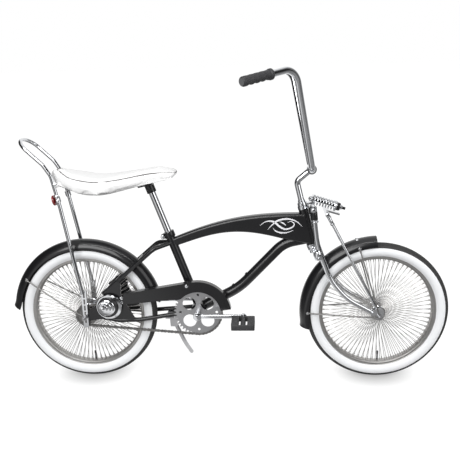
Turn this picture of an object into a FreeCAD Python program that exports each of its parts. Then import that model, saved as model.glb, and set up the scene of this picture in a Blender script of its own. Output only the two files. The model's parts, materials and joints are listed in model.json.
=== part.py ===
"""Chopper bicycle: a twenty-inch lowrider with a springer fork, ape-hanger bar and banana seat.

Millimetres. Every piece is drawn upright: x forward, y to the rider's left, z up, the rear
axle above x = 0 and the ground at z = 0. The whole bicycle is then leaned onto its side stand.
"""
import FreeCAD, Part
import math
import os
from FreeCAD import Vector, Placement, Rotation, Matrix

os.makedirs("parts", exist_ok=True)
doc = FreeCAD.newDocument("chopper_bicycle")

# Driving sizes, in millimetres and degrees, piece by piece
SIZES = {
    "wheelbase": 1057, "wheel_radius": 254, "lean": 5, "running_fit": 0.05, "paint_gap": 0.3,
    "tyre_radius": 26, "bead_half": 15.6, "bead_radius": 206,
    "rim_top": 211, "rim_bottom": 195.6, "rim_half": 17.5, "rim_floor": 3,
    "hub_radius": 17, "hub_half": 34, "flange_radius": 40, "flange_half": 29, "flange_thick": 4,
    "spoke_radius": 1.3, "spoke_root": 37, "spoke_rim_half": 6,
    "axle_radius": 5, "axle_end_radius": 4.75, "axle_shank": 75.6, "axle_nut_radius": 9, "axle_nut_length": 9,
    "bracket_x": 413, "bracket_z": 266, "bracket_radius": 28.5, "bracket_half": 34,
    "seat_angle": 19.5, "seat_tube_length": 309, "seat_tube_radius": 15.9,
    "post_radius": 12.7, "post_rise": 178, "post_depth": 70,
    "collar_radius": 20, "collar_length": 22,
    "head_x": 820, "head_z": 508, "head_angle": 13, "head_length": 130, "head_radius": 17,
    "steerer_radius": 12.7, "cup_radius": 19, "cup_length": 11,
    "locknut_radius": 17, "locknut_length": 12, "top_nut_radius": 13, "top_nut_length": 9,
    "beam_round": 10,
    "down_tube_radius": 19, "boss_spacing": 64, "boss_depth": 11, "boss_hole_radius": 2.5, "stay_radius": 8, "stay_half": 48,
    "dropout_inner": 55, "dropout_thick": 5,
    "sprocket_y": 45, "ring_teeth": 42, "sprocket_teeth": 18, "chain_pitch": 12.7,
    "tooth_half": 1.4, "tooth_height": 3.6, "chain_gap": 0.9, "chain_plate": 1.4, "chain_half_height": 4.2,
    "roller_radius": 3.9,
    "crank_length": 165, "crank_half": 88, "crank_thick": 13, "spindle_radius": 9.5,
    "arm_root_radius": 16, "arm_tip_radius": 12,
    "pedal_start": 106, "pedal_width": 86, "pedal_length": 80, "pedal_height": 28, "pedal_axle_radius": 5,
    "guard_y": 61.5, "guard_thick": 1.6, "guard_lip": 22, "guard_radius": 120, "guard_inner": 82,
    "fender_half": 33.3, "fender_thick": 1.8, "fender_ring": 245.8,
    "fender_stay_radius": 2.6,
    "sissy_radius": 7, "sissy_half": 58, "loop_radius": 6.35,
    "leg_radius": 9, "leg_half": 52, "sleeve_radius": 12, "strut_radius": 5,
    "rocker_y": 61.5, "rocker_thick": 4,
    "reflector_radius": 18, "reflector_thick": 6,
    "spring_radius": 17.5, "spring_wire": 3, "spring_length": 84, "spring_turns": 8,
    "bolt_radius": 5,
    "bar_radius": 11.1, "grip_radius": 15.5, "grip_length": 118,
    "stem_radius": 10.8, "clamp_radius": 17, "clamp_width": 36,
    "stand_radius": 7.5, "stand_bolt_radius": 5, "fold_tilt": 16, "carrier_thick": 6,
    "seat_width": 190, "nose_width": 118,
}
sheet = doc.addObject("Spreadsheet::Sheet", "Sizes")
for line, (alias, value) in enumerate(SIZES.items(), start=1):
    sheet.set("A%d" % line, alias)
    sheet.set("B%d" % line, str(value))
    sheet.setAlias("B%d" % line, alias)
doc.recompute()


class Values:
    """Reads a size from the sheet by its name."""

    def __getattr__(self, alias):
        return float(sheet.get(alias))


size = Values()
pieces = {}
left, up, ahead = Vector(0, 1, 0), Vector(0, 0, 1), Vector(1, 0, 0)


def bind(thing, **texts):
    """Ties properties to cells: each text is an expression in cell names."""
    for prop, text in texts.items():
        thing.setExpression(prop, text)
    return thing


def keep(name, thing):
    """Names a finished sub-part."""
    thing.Label = name
    pieces[name] = thing
    return thing


def cell(alias):
    return "Sizes." + alias


def rod(name, start, end, radius):
    """A round bar from start to end; radius is an expression."""
    bar = doc.addObject("Part::Cylinder", name)
    bind(bar, Radius=radius)
    bar.Height = (end - start).Length
    bar.Placement = Placement(start, Rotation(up, end - start))
    return bar


def block(name, centre, sizes, turn=None):
    """A box about its centre; sizes are numbers along its own x, y and z."""
    box = doc.addObject("Part::Box", name)
    box.Length, box.Width, box.Height = sizes
    turn = turn or Rotation()
    box.Placement = Placement(centre - turn.multVec(Vector(*sizes) * 0.5), turn)
    return box


def fused(name, things):
    joined = doc.addObject("Part::MultiFuse", name)
    joined.Shapes = things
    joined.Refine = True
    return joined


def cut(name, base, tools):
    """Base less its tools."""
    tool = tools[0] if len(tools) == 1 else fused(name + "_tools", tools)
    left_over = doc.addObject("Part::Cut", name)
    left_over.Base, left_over.Tool = base, tool
    return left_over


def route(points, radii):
    """A wire of straight runs with a tangent arc at each inner point."""
    edges, start = [], points[0]
    for before, corner, after, radius in zip(points, points[1:], points[2:], radii):
        incoming = (corner - before).normalize()
        outgoing = (after - corner).normalize()
        turn = incoming.getAngle(outgoing)
        reach = radius * math.tan(turn / 2)
        first, last = corner - incoming * reach, corner + outgoing * reach
        inward = (outgoing - incoming).normalize()
        middle = corner + inward * (radius / math.cos(turn / 2) - radius)
        if (first - start).Length > 1e-4:
            edges.append(Part.LineSegment(start, first).toShape())
        edges.append(Part.Arc(first, middle, last).toShape())
        start = last
    edges.append(Part.LineSegment(start, points[-1]).toShape())
    return Part.Wire(edges)


def bent_rod(name, points, radii, radius):
    """A round bar swept along a bent route; radius is an expression."""
    spine = doc.addObject("Part::Feature", name + "_route")
    spine.Shape = route(points, radii)
    section = doc.addObject("Part::Circle", name + "_section")
    bind(section, Radius=radius)
    section.Placement = Placement(points[0], Rotation(up, points[1] - points[0]))
    sweep = doc.addObject("Part::Sweep", name)
    sweep.Sections = [section]
    sweep.Spine = (spine, ["Edge%d" % (i + 1) for i in range(len(spine.Shape.Edges))])
    sweep.Solid, sweep.Frenet = True, False
    return sweep


def outline(points, arcs=()):
    """A closed wire in the xz plane. arcs maps a point's index to the radius that rounds it."""
    arcs = dict(arcs)
    count, edges, ends = len(points), [], []
    for i, (x, z) in enumerate(points):
        corner = Vector(x, 0, z)
        if i not in arcs:
            ends.append((corner, corner))
            continue
        before = Vector(points[i - 1][0], 0, points[i - 1][1])
        after = Vector(points[(i + 1) % count][0], 0, points[(i + 1) % count][1])
        incoming, outgoing = (corner - before).normalize(), (after - corner).normalize()
        turn = incoming.getAngle(outgoing)
        reach = arcs[i] * math.tan(turn / 2)
        first, last = corner - incoming * reach, corner + outgoing * reach
        middle = corner + (outgoing - incoming).normalize() * (arcs[i] / math.cos(turn / 2) - arcs[i])
        ends.append((first, last))
        edges.append((i, Part.Arc(first, middle, last).toShape()))
    rounded = dict(edges)
    wire = []
    for i in range(count):
        if i in rounded:
            wire.append(rounded[i])
        start, stop = ends[i][1], ends[(i + 1) % count][0]
        if (stop - start).Length > 1e-4:
            wire.append(Part.LineSegment(start, stop).toShape())
    return Part.Wire(wire)


def plate(name, wire, low_y, high_y):
    """A flat outline in the xz plane, given thickness from low_y to high_y."""
    face = doc.addObject("Part::Feature", name + "_outline")
    face.Shape = Part.Face(wire)
    face.Placement = Placement(Vector(0, low_y, 0), Rotation())
    solid = doc.addObject("Part::Extrusion", name)
    solid.Base = face
    solid.DirMode = "Custom"
    solid.Dir = left
    solid.LengthFwd = high_y - low_y
    solid.Solid = True
    return solid


def mirrored(name, thing):
    """The same piece on the bicycle's other side."""
    twin = doc.addObject("Part::Mirroring", name)
    twin.Source = thing
    twin.Normal = left
    return twin


def both_sides(name, thing):
    return fused(name, [thing, mirrored(name + "_left", thing)])


def revolved(name, wire, centre, start, sweep_angle):
    """A section drawn in the yz plane above the origin, revolved about y through centre.
    start is where it begins, in degrees from straight up, forward positive."""
    face = doc.addObject("Part::Feature", name + "_section")
    face.Shape = Part.Face(wire)
    face.Placement = Placement(centre, Rotation(left, start))
    ring = doc.addObject("Part::Revolution", name)
    ring.Source = face
    ring.Axis = left
    ring.Base = centre
    ring.Angle = sweep_angle
    ring.Solid = True
    return ring


def yz(y, z):
    return Vector(0, y, z)


def ring_wire(points):
    """A closed wire through yz points; a triple is start, middle and end of an arc."""
    edges = []
    for item in points:
        corners = [yz(*p) for p in item]
        if len(corners) == 3:
            edges.append(Part.Arc(*corners).toShape())
        else:
            edges.append(Part.LineSegment(*corners).toShape())
    return Part.Wire(edges)


rear_hub = Vector(0, 0, size.wheel_radius)
front_hub = Vector(size.wheelbase, 0, size.wheel_radius)
bracket = Vector(size.bracket_x, 0, size.bracket_z)
seat_line = Vector(-math.sin(math.radians(size.seat_angle)), 0, math.cos(math.radians(size.seat_angle)))
seat_top = bracket + seat_line * size.seat_tube_length
post_top = seat_top + seat_line * size.post_rise
# Where the seat tube and post end in the drawing that the outlines of the beam and seat are read from
drawn_seat_top, drawn_post_top = Vector(309.85, 0, 557.28), Vector(250.43, 0, 725.07)
seat_move = post_top - drawn_post_top


def with_seat(points):
    """Outline points of the seat, moved to where the post's top is."""
    return [(x + seat_move.x, z + seat_move.z) for x, z in points]


def seat_point(x, y, z):
    return Vector(x, y, z) + seat_move
steer_line = Vector(-math.sin(math.radians(size.head_angle)), 0, math.cos(math.radians(size.head_angle)))
head_low = Vector(size.head_x, 0, size.head_z)
head_top = head_low + steer_line * size.head_length
steer_turn = Rotation(up, steer_line)


# Wheels
# Degrees from the crown at which the tyre's outer flats meet; the first edge takes the parked lean
TYRE_EDGES = [5, 30, 60, 95]


def tyre(name, centre):
    """A tyre of straight flats from crown to shoulder, closed to the beads, its air space not hollowed."""
    ring_radius = size.wheel_radius - size.tyre_radius
    ledge, bead, seat = size.rim_top + 0.3, size.bead_half - 0.3, size.bead_radius
    angles = [-a for a in reversed(TYRE_EDGES)] + TYRE_EDGES
    outer = [(size.tyre_radius * math.sin(math.radians(a)), ring_radius + size.tyre_radius
              * math.cos(math.radians(a))) for a in angles]
    reach = math.sqrt(size.tyre_radius ** 2 - (ring_radius - ledge) ** 2)
    corners = [(-reach, ledge)] + outer + [(reach, ledge), (bead, ledge), (bead, seat), (-bead, seat),
                                           (-bead, ledge)]
    wire = ring_wire([[a, b] for a, b in zip(corners, corners[1:] + corners[:1])])
    keep(name, revolved(name + "_section", wire, centre, 0, 360))


def wire_wheel(name, centre):
    half, top, bottom, floor = size.rim_half, size.rim_top, size.rim_bottom, size.rim_floor
    inside = size.bead_half
    wire = ring_wire([
        [(half, top), (half, bottom + 6)], [(half, bottom + 6), (half - 6, bottom)],
        [(half - 6, bottom), (6 - half, bottom)], [(6 - half, bottom), (-half, bottom + 6)],
        [(-half, bottom + 6), (-half, top)], [(-half, top), (-inside, top)],
        [(-inside, top), (-inside, bottom + 8)], [(-inside, bottom + 8), (6 - inside, bottom + floor)],
        [(6 - inside, bottom + floor), (inside - 6, bottom + floor)],
        [(inside - 6, bottom + floor), (inside, bottom + 8)], [(inside, bottom + 8), (inside, top)],
        [(inside, top), (half, top)],
    ])
    rim = revolved(name + "_rim", wire, centre, 0, 360)
    shell = rod(name + "_hub", centre - left * size.hub_half, centre + left * size.hub_half, cell("hub_radius"))
    flanges = [rod(name + "_flange%d" % side, centre + left * side * size.flange_half,
                   centre + left * side * (size.flange_half - size.flange_thick), cell("flange_radius"))
               for side in (-1, 1)]
    spokes = doc.addObject("Part::Feature", name + "_spokes")
    strands = []
    middle = size.flange_half - size.flange_thick / 2
    rim_seat = bottom + floor / 2
    for side in (-1, 1):
        for i in range(spokes_per_side):
            turn = Rotation(left, 360.0 * (i + 0.5 * (side > 0)) / spokes_per_side)
            root = Vector(0, side * middle, size.spoke_root)
            tip = Vector(0, side * size.spoke_rim_half, rim_seat)
            line = tip - root
            corners = [root + Rotation(up, line).multVec(Vector(size.spoke_radius * math.cos(a),
                                                                size.spoke_radius * math.sin(a), 0))
                       for a in (math.pi / 4, 3 * math.pi / 4, 5 * math.pi / 4, 7 * math.pi / 4)]
            square = Part.Face(Part.makePolygon(corners + corners[:1]))
            strand = square.extrude(line)
            strand.Placement = Placement(centre, turn)
            strands.append(strand)
    spokes.Shape = Part.makeCompound(strands)
    body = fused(name + "_body", [rim, shell] + flanges + [spokes])
    bore = rod(name + "_bore", centre - left * 60, centre + left * 60, "Sizes.axle_radius + Sizes.running_fit")
    keep(name, cut(name + "_cut", body, [bore]))


spokes_per_side = 70


# Frame tubes
def head_tube():
    tube = rod("head_outer", head_low, head_top, cell("head_radius"))
    bore = rod("head_bore", head_low - steer_line * 20, head_top + steer_line * 20,
               "Sizes.steerer_radius + Sizes.running_fit")
    keep("head_tube", cut("head_cut", tube, [bore]))
    cups = [rod("cup_low", head_low - steer_line * size.cup_length, head_low, cell("cup_radius")),
            rod("cup_top", head_top, head_top + steer_line * size.cup_length, cell("cup_radius"))]
    keep("headset_cups", cut("cups_cut", fused("cups_both", cups),
                             [rod("cup_bore", head_low - steer_line * 30, head_top + steer_line * 30,
                                  "Sizes.steerer_radius + Sizes.running_fit")]))


def seat_tube():
    tube = rod("seat_outer", bracket, seat_top, cell("seat_tube_radius"))
    bore = rod("seat_bore", seat_top - seat_line * (size.post_depth + 2), seat_top + seat_line * 20,
               "Sizes.post_radius + Sizes.running_fit")
    keep("seat_tube", cut("seat_cut", tube, [bore, bracket_outer("seat_shell")]))


def bracket_outer(name):
    return rod(name, bracket - left * size.bracket_half, bracket + left * size.bracket_half,
               cell("bracket_radius"))


def bottom_bracket():
    bore = rod("bracket_bore", bracket - left * 60, bracket + left * 60,
               "Sizes.spindle_radius + Sizes.running_fit")
    keep("bottom_bracket", cut("bracket_cut", bracket_outer("bracket_shell"), [bore]))


def rounded_section(x, top, low, width, corner):
    """An upright rounded rectangle across the bicycle at x."""
    half, mid = width / 2, 1 - math.sqrt(0.5)
    edges = []
    corners = [(half, top, -1, -1), (half, low, -1, 1), (-half, low, 1, 1), (-half, top, 1, -1)]
    for i, (y, z, inward_y, inward_z) in enumerate(corners):
        along_z = Vector(x, y, z + inward_z * corner)
        along_y = Vector(x, y + inward_y * corner, z)
        middle = Vector(x, y + inward_y * corner * mid, z + inward_z * corner * mid)
        ends = (along_y, middle, along_z) if i % 2 == 0 else (along_z, middle, along_y)
        edges.append(Part.Arc(*ends).toShape())
        edges.append(None)
    for i in range(1, len(edges), 2):
        before, after = edges[i - 1], edges[(i + 1) % len(edges)]
        edges[i] = Part.LineSegment(before.lastVertex(True).Point, after.firstVertex(True).Point).toShape()
    return Part.Wire(edges)


# The deep top beam's sections: x, top, low, width
BEAM_SECTIONS = [
    (318, 531, 499, 27), (420, 569.5, 532, 32), (540, 601.5, 554.5, 37), (680, 618, 538.5, 41),
    (826, 619, 510, 44),
]


def beam_solid(name):
    """The deep top beam, lofted through its sections."""
    wires = []
    rear_x, front_x = BEAM_SECTIONS[0][0], BEAM_SECTIONS[-1][0]
    for i, (x, top, low, width) in enumerate(BEAM_SECTIONS):
        lift = (seat_top.z - drawn_seat_top.z) * (front_x - x) / (front_x - rear_x)
        wire = doc.addObject("Part::Feature", "%s_section%d" % (name, i))
        wire.Shape = rounded_section(x, top + lift, low + lift, width, size.beam_round)
        wires.append(wire)
    loft = doc.addObject("Part::Loft", name)
    loft.Sections, loft.Solid, loft.Ruled = wires, True, False
    return loft


def beyond(name, point, angle, side):
    """Everything ahead of (side 1) or behind (side -1) a tube's axis, tilted back by angle."""
    turn = Rotation(left, -angle)
    return block(name, point + turn.multVec(ahead * side * 100), (200, 200, 600), turn)


def tank_beam():
    keep("tank_beam", cut("beam_cut", beam_solid("beam"), [
        beyond("beam_ahead", head_low, size.head_angle, 1), beyond("beam_behind", seat_top, size.seat_angle, -1),
        rod("beam_head", head_low - steer_line * 5, head_top, cell("head_radius")),
        rod("beam_collar", seat_top - seat_line * (size.collar_length + size.paint_gap), seat_top,
            "Sizes.collar_radius + Sizes.paint_gap"),
        rod("beam_seat", bracket, seat_top, cell("seat_tube_radius"))]))


boss_spots = []


def down_tube():
    """The lower tube: an S from under the head tube to the bottom bracket, with two bottle bosses."""
    down_high, down_corner = Vector(722, 0, 510), Vector(560, 0, 343)
    tube = bent_rod("down_sweep", [Vector(822, 0, 530), down_high, down_corner, Vector(413, 0, 268)],
                    [110, 260], cell("down_tube_radius"))
    down_line = (down_corner - down_high).normalize()
    outward = Rotation(left, 90).multVec(down_line)
    bosses, holes = [], []
    for i, (along, above) in enumerate([(176, 21.5), (176 + size.boss_spacing, 26.5)]):
        foot = down_high + down_line * along
        bosses.append(rod("boss%d" % i, foot, foot + outward * above, "5"))
        boss_spots.append(foot + outward * (above - size.boss_depth / 2))
        boss_spots.append(outward)
        holes.append(rod("boss_hole%d" % i, foot + outward * (above - size.boss_depth),
                         foot + outward * (above + 5), cell("boss_hole_radius")))
    keep("down_tube", cut("down_cut", fused("down_body", [tube] + bosses), holes + [
        rod("down_head", head_low - steer_line * 40, head_top, cell("head_radius")),
        beam_solid("down_beam"), beyond("down_ahead", head_low, size.head_angle, 1),
        bracket_outer("down_shell"), rod("down_seat", bracket, seat_top, cell("seat_tube_radius"))]))


def stays():
    seat_stay = bent_rod("seat_stay_right", [seat_top + Vector(10, -8, -40), Vector(262, -size.stay_half, 505),
                                             Vector(70, -size.stay_half - 4, 340)], [40],
                         cell("stay_radius"))
    spot = rear_hub + Vector(0.7125, 0, 0.7017) * (size.fender_ring + size.fender_half + 7)
    bridge = rod("stay_bridge", spot - left * size.stay_half, spot + left * size.stay_half, "7.2")
    keep("seat_stays", cut("seat_stays_cut", fused("seat_stays_all", [
        both_sides("seat_stays_both", seat_stay), bridge]), [fender_hull("stay_fender", rear_hub),
        rod("stay_seat", bracket, seat_top, cell("seat_tube_radius")), dropout_slab("stay_slab"),
        rod("stay_collar", seat_top - seat_line * size.collar_length, seat_top, cell("collar_radius"))]))
    chain_stay = bent_rod("chain_stay_right", [Vector(413, -23, 264), Vector(316, -32, 252),
                                               Vector(200, -46, 238), Vector(122, -57, 240),
                                               Vector(70, -57.5, 252)], [150, 150, 60],
                          cell("stay_radius"))
    keep("chain_stays", cut("chain_stays_cut", both_sides("chain_stays_both", chain_stay), [
        bracket_outer("stay_shell"), dropout_slab("chain_slab")]))


dropout_points = [(-14, 254), (-4, 270), (34, 290), (109, 377), (138, 396), (136, 334), (186, 242),
                  (62, 246), (14, 240)]


def dropout_slab(name):
    """The two dropout plates as one tool that trims the stays."""
    low = size.dropout_inner
    near = plate(name + "_near", outline(dropout_points), -low - size.dropout_thick, -low)
    return both_sides(name, near)


def dropouts():
    low = size.dropout_inner
    near = plate("dropout_near", outline(dropout_points, {0: 8, 3: 10, 4: 10, 5: 20, 6: 8}),
                 -low - size.dropout_thick, -low)
    hole = rod("dropout_holes", rear_hub - left * 90, rear_hub + left * 90, cell("axle_radius"))
    keep("dropout_plates", cut("dropout_cut", both_sides("dropout_both", near), [hole]))
    cup = fused("side_cup_near", [
        rod("cup_base", Vector(92, -60, 296), Vector(92, -68, 296), "22"),
        rod("cup_step", Vector(92, -68, 296), Vector(90, -78, 295), "16"),
        rod("cup_barrel", Vector(92, -66, 296), Vector(84, -98, 292), "11")])
    keep("side_cups", both_sides("side_cups_both", cup))


def rear_axle():
    reach = size.dropout_inner + size.dropout_thick + 27
    shank = size.axle_shank
    keep("rear_axle", fused("rear_axle_body", [
        rod("rear_axle_shank", rear_hub - left * shank, rear_hub + left * shank, cell("axle_radius")),
        rod("rear_axle_ends", rear_hub - left * reach, rear_hub + left * reach, cell("axle_end_radius"))]))
    nuts = [rod("rear_nut%d" % side, rear_hub + left * side * 66.4, rear_hub + left * side * 75,
                cell("axle_nut_radius")) for side in (-1, 1)]
    hole = rod("rear_nut_hole", rear_hub - left * 90, rear_hub + left * 90, cell("axle_radius"))
    keep("rear_axle_nuts", cut("rear_nuts_cut", fused("rear_nuts", nuts), [hole]))


# Drive
def pitch_radius(teeth):
    return size.chain_pitch / (2 * math.sin(math.pi / teeth))


def toothed_disc(name, centre, teeth, hole, holes):
    """A sprocket: a trapezium tooth between each pair of rollers."""
    pitch = pitch_radius(teeth)
    root, tip = pitch - size.roller_radius - 0.3, pitch + size.tooth_height
    points = []
    for i in range(teeth):
        middle = 2 * math.pi * (i + 0.5) / teeth
        for radius, share in ((root, -0.34), (tip, -0.12), (tip, 0.12), (root, 0.34)):
            angle = middle + share * 2 * math.pi / teeth
            points.append((centre.x + radius * math.cos(angle), centre.z + radius * math.sin(angle)))
    disc = plate(name + "_disc", outline(points), centre.y - size.tooth_half, centre.y + size.tooth_half)
    tools = [rod(name + "_hole", centre - left * 20, centre + left * 20, hole)]
    for i, (distance, angle, radius) in enumerate(holes):
        spot = centre + Vector(math.cos(math.radians(angle)), 0, math.sin(math.radians(angle))) * distance
        tools.append(rod(name + "_window%d" % i, spot - left * 20, spot + left * 20, radius))
    return cut(name + "_cut", disc, tools)


def drive():
    ring_centre = bracket - left * size.sprocket_y
    windows = [(46, angle, "24") for angle in (45, 135, 225, 315)]
    windows += [(66, angle, "5") for angle in (0, 90, 180, 270)]
    keep("chainring", toothed_disc("chainring", ring_centre, int(size.ring_teeth),
                                   cell("spindle_radius"), windows))
    sprocket = toothed_disc("sprocket", rear_hub - left * size.sprocket_y, int(size.sprocket_teeth),
                            "Sizes.axle_radius + Sizes.running_fit", [])
    keep("rear_sprocket", sprocket)


def loop_wire(offset):
    """The chain's outline in the xz plane, offset outward from its pitch line."""
    big, small = pitch_radius(size.ring_teeth) + offset, pitch_radius(size.sprocket_teeth) + offset
    span = bracket - rear_hub
    distance = math.hypot(span.x, span.z)
    tilt = math.atan2(span.z, span.x)
    flare = math.asin((big - small) / distance)

    def at(centre, radius, angle):
        return Vector(centre.x + radius * math.cos(angle), 0, centre.z + radius * math.sin(angle))

    above, below = tilt + math.pi / 2 + flare, tilt - math.pi / 2 - flare
    return Part.Wire([
        Part.LineSegment(at(rear_hub, small, above), at(bracket, big, above)).toShape(),
        Part.Arc(at(bracket, big, above), at(bracket, big, tilt), at(bracket, big, below)).toShape(),
        Part.LineSegment(at(bracket, big, below), at(rear_hub, small, below)).toShape(),
        Part.Arc(at(rear_hub, small, below), at(rear_hub, small, tilt + math.pi),
                 at(rear_hub, small, above)).toShape(),
    ])


def chain():
    """One fixed loop: two side bands clear of the teeth, tied by rollers on the straight runs."""
    parts = []
    inner_face = size.tooth_half + size.chain_gap
    for side in (-1, 1):
        low = -size.sprocket_y + side * (inner_face + size.chain_plate / 2) - size.chain_plate / 2
        band = cut("chain_band%d" % side, plate("chain_out%d" % side, loop_wire(size.chain_half_height),
                                                low, low + size.chain_plate),
                   [plate("chain_in%d" % side, loop_wire(-size.chain_half_height), low - 1,
                          low + size.chain_plate + 1)])
        parts.append(band)
    path = loop_wire(0).Edges
    reach = inner_face + size.chain_plate / 2
    for run, edge in enumerate((path[0], path[2])):
        count = 6
        for i in range(count):
            spot = edge.valueAt(edge.FirstParameter + (edge.LastParameter - edge.FirstParameter)
                                * (0.16 + 0.6 * i / (count - 1) + (0.06 if run else 0)))
            spot = Vector(spot.x, -size.sprocket_y, spot.z)
            parts.append(block("chain_roller%d_%d" % (run, i), spot, (5.6, 2 * reach, 5.6)))
    keep("chain", fused("chain_loop", parts))


def arm(name, side):
    """One crank arm, tapering from the spindle to the pedal, on side -1 right or +1 left."""
    tip = bracket + ahead * size.crank_length * (-side)
    low = side * size.crank_half - size.crank_thick / 2
    big, small = size.arm_root_radius, size.arm_tip_radius
    forward = -side
    points = [(bracket.x - forward * 2, bracket.z + big), (tip.x, tip.z + small),
              (tip.x, tip.z - small), (bracket.x - forward * 2, bracket.z - big)]
    web = plate(name + "_web", outline(points), low, low + size.crank_thick)
    ends = [rod(name + "_root", Vector(bracket.x, low, bracket.z),
                Vector(bracket.x, low + size.crank_thick, bracket.z), cell("arm_root_radius")),
            rod(name + "_tip", Vector(tip.x, low, tip.z), Vector(tip.x, low + size.crank_thick, tip.z),
                cell("arm_tip_radius"))]
    axle_end = side * (size.pedal_start + size.pedal_width - 4)
    axle = rod(name + "_axle", Vector(tip.x, side * size.crank_half, tip.z),
               Vector(tip.x, axle_end, tip.z), cell("pedal_axle_radius"))
    return [web, axle] + ends


def crank():
    spindle = rod("crank_spindle", bracket - left * size.crank_half, bracket + left * size.crank_half,
                  cell("spindle_radius"))
    keep("crank", fused("crank_body", [spindle] + arm("arm_right", -1) + arm("arm_left", 1)))
    for name, side in (("pedal_right", -1), ("pedal_left", 1)):
        centre = bracket + ahead * size.crank_length * (-side)
        centre = centre + left * side * (size.pedal_start + size.pedal_width / 2)
        body = block(name + "_block", centre, (size.pedal_length, size.pedal_width, size.pedal_height))
        doc.recompute()
        rounded = doc.addObject("Part::Fillet", name + "_rounded")
        rounded.Base = body
        rounded.Edges = [(i + 1, 6, 6) for i, edge in enumerate(body.Shape.Edges)
                         if edge.BoundBox.YLength > size.pedal_width - 1]
        hole = rod(name + "_hole", centre - left * 60, centre + left * 60,
                   "Sizes.pedal_axle_radius + Sizes.running_fit")
        keep(name, cut(name + "_cut", rounded, [hole]))


def chain_guard():
    """The painted guard: a band over the top run that grows into a disc segment round the chainring."""
    centre_x, centre_z = bracket.x, bracket.z
    outer, inner = size.guard_radius, size.guard_inner

    def at(radius, degrees):
        return Vector(centre_x + radius * math.cos(math.radians(degrees)), 0,
                      centre_z + radius * math.sin(math.radians(degrees)))

    tail_top, tail_low = Vector(144, 0, 342), Vector(144, 0, 302)
    wire = Part.Wire([
        Part.Arc(at(outer, 8), at(outer, 50), at(outer, 100)).toShape(),
        Part.LineSegment(at(outer, 100), tail_top).toShape(),
        Part.LineSegment(tail_top, tail_low).toShape(),
        Part.LineSegment(tail_low, at(inner, 136)).toShape(),
        Part.Arc(at(inner, 136), at(inner, 60), at(inner, 8)).toShape(),
        Part.LineSegment(at(inner, 8), at(outer, 8)).toShape(),
    ])
    face = plate("guard_face", wire, -size.guard_y - size.guard_thick, -size.guard_y)
    lip_wire = Part.Wire([
        Part.Arc(at(outer, 8), at(outer, 50), at(outer, 100)).toShape(),
        Part.LineSegment(at(outer, 100), tail_top).toShape(),
        Part.LineSegment(tail_top, tail_top - up * size.guard_thick).toShape(),
        Part.LineSegment(tail_top - up * size.guard_thick, at(outer - size.guard_thick, 100)).toShape(),
        Part.Arc(at(outer - size.guard_thick, 100), at(outer - size.guard_thick, 50),
                 at(outer - size.guard_thick, 8)).toShape(),
        Part.LineSegment(at(outer - size.guard_thick, 8), at(outer, 8)).toShape(),
    ])
    lip = plate("guard_lip_band", lip_wire, -size.guard_y - size.guard_thick, -size.guard_y + size.guard_lip)
    high = bracket + seat_line * 112
    depth = size.guard_y - size.dropout_inner - size.dropout_thick
    tail_tab = block("guard_tail_tab", Vector(137, -size.guard_y + depth / 2, 318), (22, depth, 16))
    strap = block("guard_strap", Vector(high.x, -size.guard_y / 2, high.z), (12, size.guard_y, 2))
    keep("chain_guard", cut("guard_cut", fused("guard_body", [face, lip, tail_tab, strap]), [
        rod("guard_seat", bracket, seat_top, cell("seat_tube_radius"))]))


# Fenders and their stays
def fender(name, centre, start, sweep_angle):
    """A half-round channel round the wheel; its rear end flares away from the tyre."""
    outer, wall, ring = size.fender_half, size.fender_thick, size.fender_ring
    wire = ring_wire([
        [(outer, ring), (0, ring + outer), (-outer, ring)], [(-outer, ring), (wall - outer, ring)],
        [(wall - outer, ring), (0, ring + outer - wall), (outer - wall, ring)],
        [(outer - wall, ring), (outer, ring)],
    ])
    main = revolved(name + "_main", wire, centre, start, sweep_angle)
    flare_radius = 70
    swing = Rotation(left, start)
    pivot = centre + swing.multVec(Vector(0, 0, ring + outer + flare_radius))
    face = doc.addObject("Part::Feature", name + "_flare_section")
    face.Shape = Part.Face(wire)
    face.Placement = Placement(centre, swing)
    flare = doc.addObject("Part::Revolution", name + "_flare")
    flare.Source, flare.Axis, flare.Base, flare.Angle, flare.Solid = face, left, pivot, 18, True
    return fused(name + "_body", [main, flare])


def fenders():
    keep("rear_fender", fender("rear_fender", rear_hub, -79, 149))
    keep("front_fender", fender("front_fender", front_hub, -97, 95))


def fender_hull(name, hub):
    """The solid ring inside the fender's outer face, which trims the stays' feet."""
    outer, ring = size.fender_half, size.fender_ring
    wire = ring_wire([[(outer, ring), (0, ring + outer), (-outer, ring)], [(-outer, ring), (outer, ring)]])
    return revolved(name, wire, hub, 0, 360)


def fender_stays(name, hub, near_tops, face_y, tools):
    """Thin rods from the axle eyelets out to the fender's sides."""
    parts = []
    for i, (x, z) in enumerate(near_tops):
        top = Vector(x, -size.fender_half - 3, z)
        lane = -(face_y + size.fender_stay_radius + 0.3)
        direction = (Vector(x, 0, z) - hub).normalize()
        parts.append(bent_rod(name + "_rod%d" % i, [
            Vector(hub.x, lane, hub.z), Vector(hub.x, lane, hub.z) + direction * 62, top], [120],
            cell("fender_stay_radius")))
        parts.append(rod(name + "_foot%d" % i, top + left * 3.4, top - left * 2, "5"))
    eye = rod(name + "_eye", hub - left * (face_y + 2.4), hub - left * face_y, "9")
    side = fused(name + "_near", parts + [eye])
    hole = rod(name + "_hole", hub - left * 100, hub + left * 100, cell("axle_radius"))
    return cut(name + "_cut", both_sides(name + "_both", side), [hole] + tools)


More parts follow.
